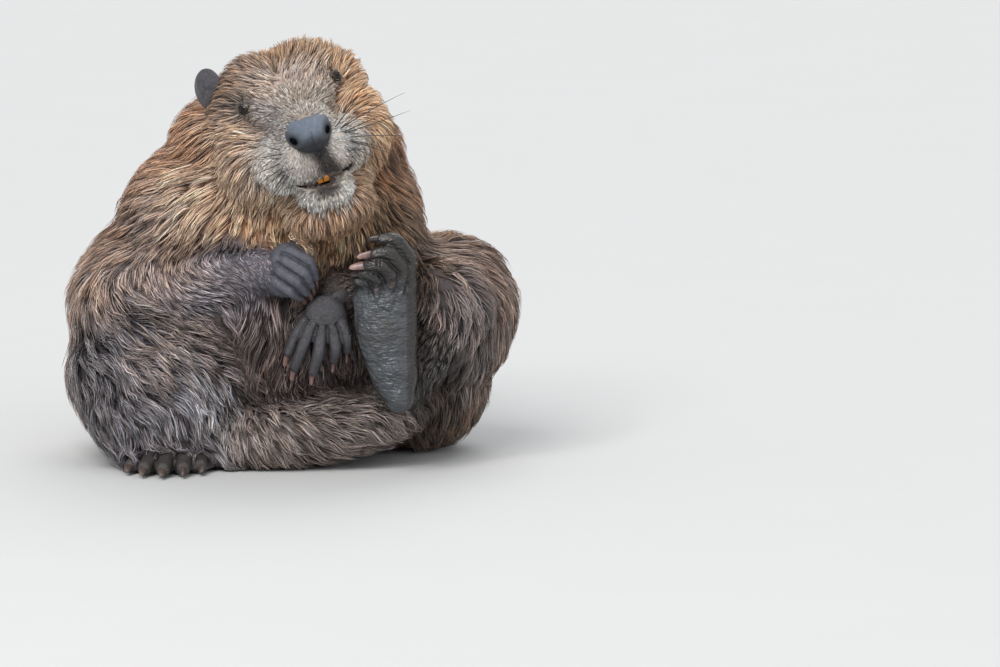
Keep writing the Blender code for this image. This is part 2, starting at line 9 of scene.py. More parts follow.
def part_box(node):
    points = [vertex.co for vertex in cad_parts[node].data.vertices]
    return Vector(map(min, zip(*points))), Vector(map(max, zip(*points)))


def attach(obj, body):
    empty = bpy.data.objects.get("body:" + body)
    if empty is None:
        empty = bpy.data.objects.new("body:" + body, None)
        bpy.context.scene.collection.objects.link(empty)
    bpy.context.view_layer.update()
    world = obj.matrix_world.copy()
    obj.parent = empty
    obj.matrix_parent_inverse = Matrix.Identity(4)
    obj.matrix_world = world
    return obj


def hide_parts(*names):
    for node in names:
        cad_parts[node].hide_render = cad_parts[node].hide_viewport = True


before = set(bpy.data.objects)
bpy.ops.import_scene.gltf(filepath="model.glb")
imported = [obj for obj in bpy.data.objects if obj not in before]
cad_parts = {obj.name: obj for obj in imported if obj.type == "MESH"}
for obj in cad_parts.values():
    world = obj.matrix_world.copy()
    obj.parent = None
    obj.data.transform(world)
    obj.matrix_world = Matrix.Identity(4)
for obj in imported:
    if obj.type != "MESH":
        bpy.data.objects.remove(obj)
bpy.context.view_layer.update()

# The animal faces -Y and its left side is at +X. Numbers in the tables are metres in the body's own
# layout, and bodyShift takes them to the frame. Head numbers are from midway between the eyes.
headRoll = math.radians(18.8)
headYaw = math.radians(8.0)
headTurn = np.array(Matrix.Rotation(-headRoll, 3, "Y") @ Matrix.Rotation(headYaw, 3, "Z"))
headPlace = np.array((0.0015, -0.125, 0.311))


def boxMiddle(node):
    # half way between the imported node's low and high corners
    low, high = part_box(node)
    return (np.array(low) + np.array(high)) / 2


eyeMiddle = (boxMiddle("eye_right") + boxMiddle("eye_left")) / 2
bodyShift = eyeMiddle - (headPlace + headTurn @ np.array((0, -0.001, 0)))
print("frame loaded, shift", bodyShift.round(4))


def fromHead(points):
    # head numbers to the frame
    return np.asarray(points, float) @ headTurn.T + headPlace + bodyShift


def toHead(points):
    # the frame to head numbers
    return (points - headPlace - bodyShift) @ headTurn


# Small tools for arrays and meshes

def unit(v):
    # v / |v|
    return v / np.maximum(np.linalg.norm(v, axis=-1, keepdims=True), 1e-12)


def laid(way, normals):
    # directions turned into the surface that has these normals
    return unit(way - np.sum(way * normals, axis=-1, keepdims=True) * normals)


def ease(x, low, high):
    # 0 below low, 1 above high, and a smooth cubic step between
    t = np.clip((x - low) / (high - low), 0, 1)
    return t * t * (3 - 2 * t)


def bell(points, centre, reach):
    # exp(-(distance / reach)^2)
    return np.exp(-np.sum((points - np.asarray(centre)) ** 2, axis=-1) / reach**2)


def around(count):
    # even angles of a full turn
    return np.linspace(0, 2 * math.pi, count, endpoint=False)


def turned(degrees):
    # the matrix of three turns about x, y and z
    return np.array(Euler([math.radians(a) for a in degrees]).to_matrix())


def linear(rgb):
    # 0-255 screen colours to the shader's linear ones
    c = np.asarray(rgb, float) / 255
    return np.where(c <= 0.04045, c / 12.92, ((c + 0.055) / 1.055) ** 2.4)


noiseSteps = 32
noiseTable = np.random.default_rng(5).random((noiseSteps, noiseSteps, noiseSteps))


def softNoise(points, size):
    # value noise between -1 and 1: random numbers on a lattice of the given size, blended smoothly
    q = points / size + 100.0
    base = np.floor(q).astype(int)
    f = q - base
    f = f * f * (3 - 2 * f)
    total = np.zeros(len(points))
    for corner in np.ndindex(2, 2, 2):
        share = np.where(corner, f, 1 - f)
        i = (base + corner) % noiseSteps
        total += share[:, 0] * share[:, 1] * share[:, 2] * noiseTable[i[:, 0], i[:, 1], i[:, 2]]
    return total * 2 - 1


def meshFrom(name, verts, faces, smooth=True):
    # faces is a list of index arrays, one for triangles and one for quads
    faces = [f for f in faces if len(f)]
    mesh = bpy.data.meshes.new(name)
    loops = np.concatenate([f.ravel() for f in faces]).astype(np.int32)
    sizes = np.concatenate([np.full(len(f), f.shape[1]) for f in faces])
    starts = np.concatenate([[0], np.cumsum(sizes)[:-1]]).astype(np.int32)
    mesh.vertices.add(len(verts))
    mesh.vertices.foreach_set("co", verts.astype(np.float32).ravel())
    mesh.loops.add(len(loops))
    mesh.loops.foreach_set("vertex_index", loops)
    mesh.polygons.add(len(sizes))
    mesh.polygons.foreach_set("loop_start", starts)
    mesh.polygons.foreach_set("use_smooth", np.full(len(sizes), smooth))
    mesh.update(calc_edges=True)
    return mesh


def addObject(name, data):
    # an object in the scene, at the origin
    made = bpy.data.objects.new(name, data)
    bpy.context.scene.collection.objects.link(made)
    return made


def finishPiece(mesh, material, nodes=()):
    # a mesh as one visible piece on the animal's only body
    mesh.materials.append(material)
    made = addObject(mesh.name, mesh)
    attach(made, "root")
    if nodes:
        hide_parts(*nodes)


def paint(mesh, name, values):
    # a number or a colour at each vertex
    values = np.asarray(values, np.float32)
    if values.ndim == 1:
        mesh.attributes.new(name, "FLOAT", "POINT").data.foreach_set("value", values)
    else:
        rgba = np.ones((len(values), 4), np.float32)
        rgba[:, :3] = values
        mesh.attributes.new(name, "FLOAT_COLOR", "POINT").data.foreach_set("color", rgba.ravel())


def shell(rings, start, end):
    # a closed surface from n rings of m points, fanned shut at a start and an end point
    n, m = rings.shape[:2]
    verts = np.vstack([rings.reshape(-1, 3), start, end])
    i = np.arange(n - 1)[:, None] * m
    j = np.arange(m)
    k = (j + 1) % m
    quads = np.stack([i + j, i + k, i + m + k, i + m + j], -1).reshape(-1, 4)
    first = np.stack([np.full(m, n * m), k, j], -1)
    last = np.stack([np.full(m, n * m + 1), (n - 1) * m + j, (n - 1) * m + k], -1)
    return outward(verts, np.vstack([first, last]), quads)


def halved(tris, quads):
    # every face as triangles
    return np.vstack([tris, quads[:, [0, 1, 2]], quads[:, [0, 2, 3]]])


def outward(verts, tris, quads):
    # turns a closed surface right side out, by the sign of the volume that it holds
    every = halved(tris, quads)
    a, b, c = verts[every.T]
    if np.sum(a * np.cross(b, c)) < 0:
        tris, quads = tris[:, ::-1], quads[:, ::-1]
    return verts, tris, quads


def together(parts):
    # several (verts, triangles, quads) as one
    verts, tris, quads = [], [], []
    base = 0
    for v, t, q in parts:
        verts.append(v)
        tris.append(t + base)
        quads.append(q + base)
        base += len(v)
    return np.vstack(verts), np.vstack(tris), np.vstack(quads)


def curveThrough(knots, count):
    # a smooth line through the knots, in Catmull-Rom cubic pieces; any number of columns
    k = np.asarray(knots, float)
    p = np.vstack([2 * k[0] - k[1], k, 2 * k[-1] - k[-2]])
    t = np.linspace(0, len(k) - 1, count)
    i = np.minimum(t.astype(int), len(k) - 2)
    f = (t - i)[:, None]
    a, b, c, d = p[i], p[i + 1], p[i + 2], p[i + 3]
    return 0.5 * (2 * b + (c - a) * f + (2 * a - 5 * b + 4 * c - d) * f**2 + (3 * b - a - 3 * c + d) * f**3)


def ellipsoid(centre, half, turn=(0, 0, 0), rows=20, columns=32):
    # centre + turn * (a sin u cos v, b sin u sin v, c cos u)
    u = np.linspace(math.pi, 0, rows + 2)[1:-1, None]
    v = around(columns)[None, :]
    unitBall = np.stack([np.sin(u) * np.cos(v), np.sin(u) * np.sin(v), np.cos(u) + 0 * v], -1)
    spin = turned(turn)
    place = lambda p: (p * half) @ spin.T + np.asarray(centre)
    return shell(place(unitBall), place(np.array([[0, 0, -1.0]])), place(np.array([[0, 0, 1.0]])))


def tube(path, radii, sides=16, flat=1.0, hint=None):
    # rings of the given radii square to a path, closed with a blunt point at each end
    tangent = unit(np.gradient(path, axis=0))
    if hint is None:
        hint = np.eye(3)[np.argmin(np.abs(path[-1] - path[0]))]
    side = unit(np.cross(hint, tangent))
    up = np.cross(tangent, side)
    angle = around(sides)[None, :, None]
    spokes = np.cos(angle) * side[:, None] + flat * np.sin(angle) * up[:, None]
    rings = path[:, None] + radii[:, None, None] * spokes
    return shell(rings, path[:1] - tangent[:1] * radii[0] * 0.5, path[-1:] + tangent[-1:] * radii[-1] * 0.5)


def limb(knots, radii, count=24, sides=20):
    # a tapered tube through the knots with a ball at each end
    line = curveThrough(np.column_stack([knots, radii]), count)
    ends = [ellipsoid(knots[i], [radii[i]] * 3, rows=10, columns=16) for i in (0, -1)]
    return [tube(line[:, :3], line[:, 3], sides), *ends]


# The flesh: the body's masses, as (centre, half sizes, turn in degrees)

torso = {
    "ruff": ((-0.002, -0.034, 0.256), (0.1, 0.074, 0.058), (0, 4, 0)),
    "chest": ((-0.016, -0.026, 0.196), (0.129, 0.096, 0.086), (0, -5, 0)),
    "belly": ((-0.033, -0.006, 0.118), (0.153, 0.128, 0.106), (0, 0, 0)),
    "rump": ((0.0, 0.05, 0.07), (0.142, 0.122, 0.073), (0, 0, 0)),
    "tailBase": ((0.08, 0.165, 0.016), (0.043, 0.062, 0.017), (0, 0, -6)),
    "ventMound": ((0.02, -0.088, 0.03), (0.104, 0.052, 0.033), (0, -9, 6)),
    "thighRight": ((-0.1, -0.04, 0.066), (0.084, 0.098, 0.07), (0, 0, 20)),
    "kneeRight": ((-0.103, -0.092, 0.04), (0.066, 0.05, 0.042), (0, 0, 8)),
    "thighLeft": ((0.13, -0.026, 0.118), (0.059, 0.082, 0.069), (0, 0, -14)),
    "buttockLeft": ((0.106, 0.01, 0.056), (0.062, 0.08, 0.06), (0, 0, 0)),
}
headMasses = {
    "skull": ((0.018, 0.048, -0.01), (0.045, 0.06, 0.048), (0, 0, 0)),
    "temple": ((0.034, 0.044, -0.013), (0.037, 0.046, 0.038), (0, 0, 0)),
    "cheek": ((0.04, 0.028, -0.046), (0.037, 0.046, 0.044), (0, 0, 0)),
    "lip": ((0.0175, -0.029, -0.05), (0.021, 0.031, 0.0255), (0, 0, 0)),
    "brow": ((0, 0.012, -0.01), (0.0415, 0.046, 0.034), (0, 0, 0)),
    "snout": ((0, -0.024, -0.029), (0.027, 0.04, 0.0245), (-12, 0, 0)),
    "muzzle": ((0, -0.031, -0.05), (0.024, 0.028, 0.0235), (0, 0, 0)),
    "jowl": ((0.031, -0.012, -0.052), (0.0245, 0.034, 0.028), (0, 0, 0)),
    "chin": ((0, -0.018, -0.084), (0.0295, 0.034, 0.0175), (6, 0, 0)),
    "throat": ((0, 0.03, -0.08), (0.052, 0.05, 0.036), (0, 0, 0)),
    "bib": ((0, -0.004, -0.1), (0.042, 0.04, 0.028), (0, 0, 0)),
}
limbLines = {  # joints and half thicknesses
    "spine": (
        [(0.01, -0.045, 0.264), (0.004, -0.012, 0.244), (-0.008, 0.015, 0.196),
            (-0.018, 0.026, 0.136), (-0.017, 0.036, 0.092)],
        [0.066, 0.086, 0.112, 0.131, 0.129],
    ),
    "armRight": ([(-0.086, -0.045, 0.205), (-0.096, -0.082, 0.15), (-0.0492, -0.1096, 0.1599),
        (-0.018, -0.128, 0.1665)], [0.04, 0.031, 0.0225, 0.0155]),
    "armLeft": ([(0.072, -0.045, 0.205), (0.092, -0.078, 0.146), (0.0608, -0.105, 0.1469),
        (0.04, -0.123, 0.1475)], [0.04, 0.031, 0.0215, 0.015]),
    "shankLeft": ([(0.128, -0.082, 0.13), (0.1088, -0.1084, 0.0928), (0.096, -0.126, 0.068)],
        [0.045, 0.031, 0.02]),
    "tailRoot": ([(0.058, 0.08, 0.04), (0.0723, 0.14325, 0.0268), (0.084, 0.195, 0.016)],
        [0.06, 0.036, 0.014]),
}
paws = {
    "hand_right": {
        "masses": [
            ((-0.024, -0.124, 0.165), (0.0135, 0.0135, 0.0135), (0, 0, 0)),
            ((0.001, -0.136, 0.174), (0.0165, 0.012, 0.0165), (0, 24, 0)),
            ((-0.005, -0.134, 0.156), (0.015, 0.012, 0.011), (0, 20, 0)),
        ],
        "digits": [
            [(0.002, -0.142, 0.183), (0.0165, -0.148, 0.177), (0.0215, -0.142, 0.162)],
            [(-0.001, -0.146, 0.176), (0.013, -0.152, 0.168), (0.0185, -0.145, 0.156)],
            [(-0.005, -0.145, 0.168), (0.008, -0.151, 0.16), (0.015, -0.145, 0.151)],
            [(-0.009, -0.142, 0.159), (0.002, -0.146, 0.152), (0.009, -0.141, 0.146)],
            [(-0.003, -0.13, 0.16), (0.009, -0.131, 0.162), (0.016, -0.131, 0.158)],
        ],
        "thick": 0.0062, "tip": 0.0044,
        "clawTurn": (-0.3, 1.0, -0.5), "clawLength": 0.0095, "clawWidth": 0.0026,
    },
    "hand_left": {
        "masses": [
            ((0.041, -0.123, 0.146), (0.013, 0.013, 0.013), (0, 0, 0)),
            ((0.031, -0.136, 0.129), (0.0175, 0.0105, 0.0185), (0, -22, 0)),
        ],
        "digits": [
            [(0.019, -0.14, 0.121), (0.012, -0.147, 0.105), (0.006, -0.143, 0.089)],
            [(0.028, -0.143, 0.117), (0.025, -0.15, 0.101), (0.021, -0.146, 0.086)],
            [(0.037, -0.143, 0.118), (0.039, -0.149, 0.106), (0.0375, -0.145, 0.096)],
            [(0.044, -0.139, 0.123), (0.048, -0.143, 0.112), (0.048, -0.14, 0.103)],
            [(0.017, -0.133, 0.129), (0.007, -0.137, 0.114), (0.001, -0.137, 0.1)],
        ],
        "thick": 0.0058, "tip": 0.0044,
        "clawTurn": (-0.05, 0.05, -1.0), "clawLength": 0.0095, "clawWidth": 0.0026,
    },
    "foot_left": {
        "masses": [
            ((0.09, -0.147, 0.068), (0.0135, 0.013, 0.0165), (0, 0, 0)),
            ((0.087, -0.148, 0.087), (0.0185, 0.013, 0.028), (0, -6, 0)),
            ((0.081, -0.148, 0.116), (0.0245, 0.013, 0.036), (0, -4, 0)),
            ((0.0775, -0.149, 0.145), (0.025, 0.011, 0.028), (-8, 0, 0)),
            ((0.083, -0.156, 0.17), (0.019, 0.0095, 0.02), (0, 0, 0)),
        ],
        "digits": [
            [(0.097, -0.148, 0.156), (0.097, -0.155, 0.181), (0.087, -0.162, 0.195), (0.077, -0.163, 0.196)],
            [(0.089, -0.151, 0.156), (0.091, -0.161, 0.174), (0.082, -0.17, 0.186), (0.071, -0.171, 0.185)],
            [(0.08, -0.152, 0.156), (0.083, -0.164, 0.169), (0.075, -0.172, 0.177), (0.066, -0.171, 0.1762)],
            [(0.071, -0.151, 0.157), (0.073, -0.161, 0.165), (0.067, -0.167, 0.1698), (0.061, -0.165, 0.1688)],
            [(0.063, -0.148, 0.155), (0.064, -0.156, 0.161), (0.06, -0.16, 0.1632), (0.057, -0.158, 0.1616)],
        ],
        "thick": 0.0086, "tip": 0.0052,
        "clawTurn": (-1.0, 0.0, -0.3), "clawLength": 0.012, "clawWidth": 0.0036,
    },
    "foot_right": {
        "masses": [
            ((-0.086, -0.029, 0.013), (0.019, 0.028, 0.014), (0, 0, 0)),
            ((-0.091, -0.078, 0.012), (0.029, 0.04, 0.013), (0, 0, 10)),
            ((-0.094, -0.119, 0.005), (0.036, 0.026, 0.005), (0, 0, 10)),
        ],
        "digits": [
            [(-0.108, -0.085, 0.011), (-0.119, -0.11, 0.011), (-0.127, -0.133, 0.0072)],
            [(-0.101, -0.093, 0.012), (-0.11, -0.122, 0.012), (-0.116, -0.149, 0.0072)],
            [(-0.094, -0.097, 0.012), (-0.098, -0.128, 0.012), (-0.101, -0.156, 0.0072)],
            [(-0.085, -0.095, 0.012), (-0.085, -0.125, 0.012), (-0.085, -0.151, 0.0072)],
            [(-0.077, -0.088, 0.011), (-0.073, -0.113, 0.011), (-0.071, -0.135, 0.0072)],
        ],
        "thick": 0.0088, "tip": 0.006,
        "clawTurn": (0.0, -1.0, -0.25), "clawLength": 0.012, "clawWidth": 0.0036,
    },
}
clawSizes = {"foot_left": (0.7, 0.95, 1.05, 0.6, 0.5)}  # how long each claw is; 1 where not named
soleLine = [  # heel to toes of the raised foot: place and half width
    (0.0915, -0.147, 0.0545, 0.0065), (0.0905, -0.147, 0.0625, 0.0125), (0.0872, -0.147, 0.076, 0.0178),
    (0.0832, -0.148, 0.099, 0.022), (0.0796, -0.148, 0.1225, 0.0256), (0.0794, -0.148, 0.141, 0.0256),
    (0.079, -0.149, 0.164, 0.024),
]
tail = {
    "waist": (0.084, 0.195, 0.016), "swing": 6, "length": 0.225, "width": 0.12, "thickness": 0.017,
    "overlap": 0.014, "sunk": 0.0012,
}
swingSide, swingBack = math.sin(math.radians(tail["swing"])), math.cos(math.radians(tail["swing"]))
tailTurn = np.array(((swingBack, swingSide, 0), (-swingSide, swingBack, 0), (0, 0, 1)))
earShape = {"width": 0.031, "height": 0.035, "thickness": 0.0024, "cup": 0.0042}
earPlaces = {-1: (-0.0582, 0.052, 0.0186), 1: (0.05, 0.07, 0.002)}
earLeans = {-1: (-6, 16, -50), 1: (-44, -26, 24)}  # the left ear is laid back into the coat


def tailBlade(rows=60, columns=72):
    # a ring whose half width follows (1 - |y|^2.8)^0.48 along the blade, flattened, thicker at its root
    y = np.cos(np.linspace(math.pi, 0, rows + 2))[1:-1]
    along = (y + 1) / 2
    half = (1 - np.abs(y) ** 2.8) ** 0.48 * (0.66 + 0.34 * np.sin(np.pi * np.minimum(1, 0.2 + 0.6 * along)))
    v = around(columns)
    x = half[:, None] * np.cos(v) * tail["width"] / 2
    z = half[:, None] * np.sin(v) * (1.3 - 0.7 * along)[:, None] * tail["thickness"] / 2
    yy = np.repeat(y[:, None], columns, 1) * tail["length"] / 2
    middle = np.array(tail["waist"]) + tailTurn @ np.array((0, tail["length"] / 2 - tail["overlap"], 0))
    middle[2] = tail["thickness"] / 2 - tail["sunk"]
    ends = np.array([[0, -1, 0], [0, 1, 0.0]]) * tail["length"] / 2 @ tailTurn.T + middle
    return shell(np.stack([x, yy, z], -1) @ tailTurn.T + middle, ends[:1], ends[1:])


def earShell(side, rows=12, columns=40):
    # a cup: y = cup * r^2 over an oval of radius r, a front and a back wall that meet at the rim
    r = np.concatenate([np.linspace(0.12, 0.97, rows), [1.0], np.linspace(0.97, 0.12, rows)])[:, None]
    wall = np.concatenate([np.full(rows, -0.5), [0.0], np.full(rows, 0.5)])[:, None]
    a = around(columns)[None, :]
    x = r * np.cos(a) * earShape["width"] / 2
    z = r * np.sin(a) * earShape["height"] / 2
    thick = earShape["thickness"] * (1.25 - 0.75 * r)
    y = earShape["cup"] * (r * r - 0.4) + wall * thick
    y = y + 0.0007 * (wall < 0) * np.sin(a * 3 + 4 * r) * r * (1 - r) * 4
    spin = turned(earLeans[side])
    put = lambda p: fromHead(p @ spin.T + earPlaces[side])
    middle, half = -0.4 * earShape["cup"], 0.5 * earShape["thickness"]
    ends = np.array([[0, middle - half, 0], [0, middle + half, 0]])
    return shell(put(np.stack([x, y, z], -1)), put(ends[:1]), put(ends[1:]))


def fleshPieces():
    # every mass, limb, digit and blade as a closed surface in the frame; head masses off the middle are
    # doubled
    pieces = [ellipsoid(*mass) for mass in torso.values()]
    for knots, radii in limbLines.values():
        pieces += limb(np.array(knots), np.array(radii))
    for data in paws.values():
        pieces += [ellipsoid(*mass) for mass in data["masses"]]
        for knots in data["digits"]:
            pieces += limb(np.array(knots), np.linspace(data["thick"], data["tip"], len(knots)), 14, 14)
    line = curveThrough(soleLine, 30)
    pieces.append(tube(line[:, :3], line[:, 3], 28, 0.54, hint=np.array((0, 1.0, 0))))
    pieces.append(tailBlade())
    pieces = [(v + bodyShift, t, q) for v, t, q in pieces]
    for centre, half, turn in headMasses.values():
        for side in (1, -1) if abs(centre[0]) > 0 else (1,):
            v, t, q = ellipsoid((centre[0] * side, *centre[1:]), half, turn)
            pieces.append((fromHead(v), t, q))
    return pieces


skinSettings = {
    "voxel": 0.0012, "triangles": 170000, "bodySmoothing": 34, "pawSmoothing": 2, "faceSmoothing": 7,
}


def evaluated(made):
    # the mesh with its modifiers applied; the object goes
    graph = bpy.context.evaluated_depsgraph_get()
    mesh = bpy.data.meshes.new_from_object(made.evaluated_get(graph))
    bpy.data.objects.remove(made)
    return mesh


def readMesh(mesh):
    # vertices, triangles and edges as arrays
    verts = np.empty(len(mesh.vertices) * 3, np.float32)
    mesh.vertices.foreach_get("co", verts)
    mesh.calc_loop_triangles()
    tris = np.empty(len(mesh.loop_triangles) * 3, np.int32)
    mesh.loop_triangles.foreach_get("vertices", tris)
    edges = np.empty(len(mesh.edges) * 2, np.int32)
    mesh.edges.foreach_get("vertices", edges)
    return verts.reshape(-1, 3).astype(float), tris.reshape(-1, 3), edges.reshape(-1, 2)


def addAt(index, values, count):
    # the sum of the values at each index
    return np.stack([np.bincount(index, values[:, a], count) for a in range(3)], 1)


def relax(verts, edges, rounds, weight):
    # each vertex moves by its weight towards the mean of its neighbours
    n = len(verts)
    share = 1 / np.maximum(np.bincount(edges.ravel(), minlength=n), 1)
    for _ in range(rounds):
        total = addAt(edges[:, 0], verts[edges[:, 1]], n) + addAt(edges[:, 1], verts[edges[:, 0]], n)
        verts = verts + weight[:, None] * (total * share[:, None] - verts)
    return verts


def vertexNormals(verts, tris):
    # the sum of the crossed edges of the triangles round each vertex, made one long
    a, b, c = verts[tris.T]
    face = np.cross(b - a, c - a)
    return unit(sum(addAt(tris[:, i], face, len(verts)) for i in range(3)))


def distanceToLines(points, starts, ends):
    # from each point to each straight piece: points x pieces
    span = ends - starts
    t = np.einsum("pkc,kc->pk", points[:, None] - starts, span) / np.sum(span**2, 1)
    near = starts + np.clip(t, 0, 1)[..., None] * span
    return np.linalg.norm(points[:, None] - near, axis=2)


def pawDistance(points, names=tuple(paws)):
    # signed distance to the nearest paw, from its balls and digits
    return pawForm(points, names)[0]


def onPaw(points, name):
    # within 4 mm of the named paw
    return pawDistance(points, (name,)) < 0.004


def pawForm(points, names=tuple(paws)):
    # signed distance to the nearest paw, and between its two nearest digits: how much farther the second is
    d = points - bodyShift
    best, between = np.full(len(points), 1.0), np.full(len(points), 1.0)
    for name in names:
        data = paws[name]
        middle = np.mean([m[0] for m in data["masses"]], 0)
        close = np.flatnonzero(np.linalg.norm(d - middle, axis=1) < 0.12)
        q = d[close]
        if not len(q):
            continue
        found = np.full(len(q), 1.0)
        for centre, half, turn in data["masses"]:
            k = np.linalg.norm((q - centre) @ turned(turn) / half, axis=1)
            found = np.minimum(found, (k - 1) * min(half) * 1.15)
        if name == "foot_left":
            x, y, z, half = np.array(soleLine).T
            x, y, half = (np.interp(q[:, 2], z, column) for column in (x, y, half))
            k = np.hypot((q[:, 0] - x) / half, (q[:, 1] - y) / (0.54 * half))
            inside = (q[:, 2] > z[0] - 0.002) & (q[:, 2] < z[-1])
            found = np.where(inside, np.minimum(found, (k - 1) * 0.54 * half), found)
        reach = [distanceToLines(q, np.array(k[:-1]), np.array(k[1:])).min(1) for k in data["digits"]]
        reach = np.sort(np.stack(reach, 1), 1)
        found = np.minimum(found, reach[:, 0] - (data["thick"] + data["tip"]) / 2)
        near = found < best[close]
        best[close[near]] = found[near]
        gap = np.where(reach[:, 0] < data["thick"] * 1.35, reach[:, 1] - reach[:, 0], 1.0)
        between[close[near]] = gap[near]
    return best, between


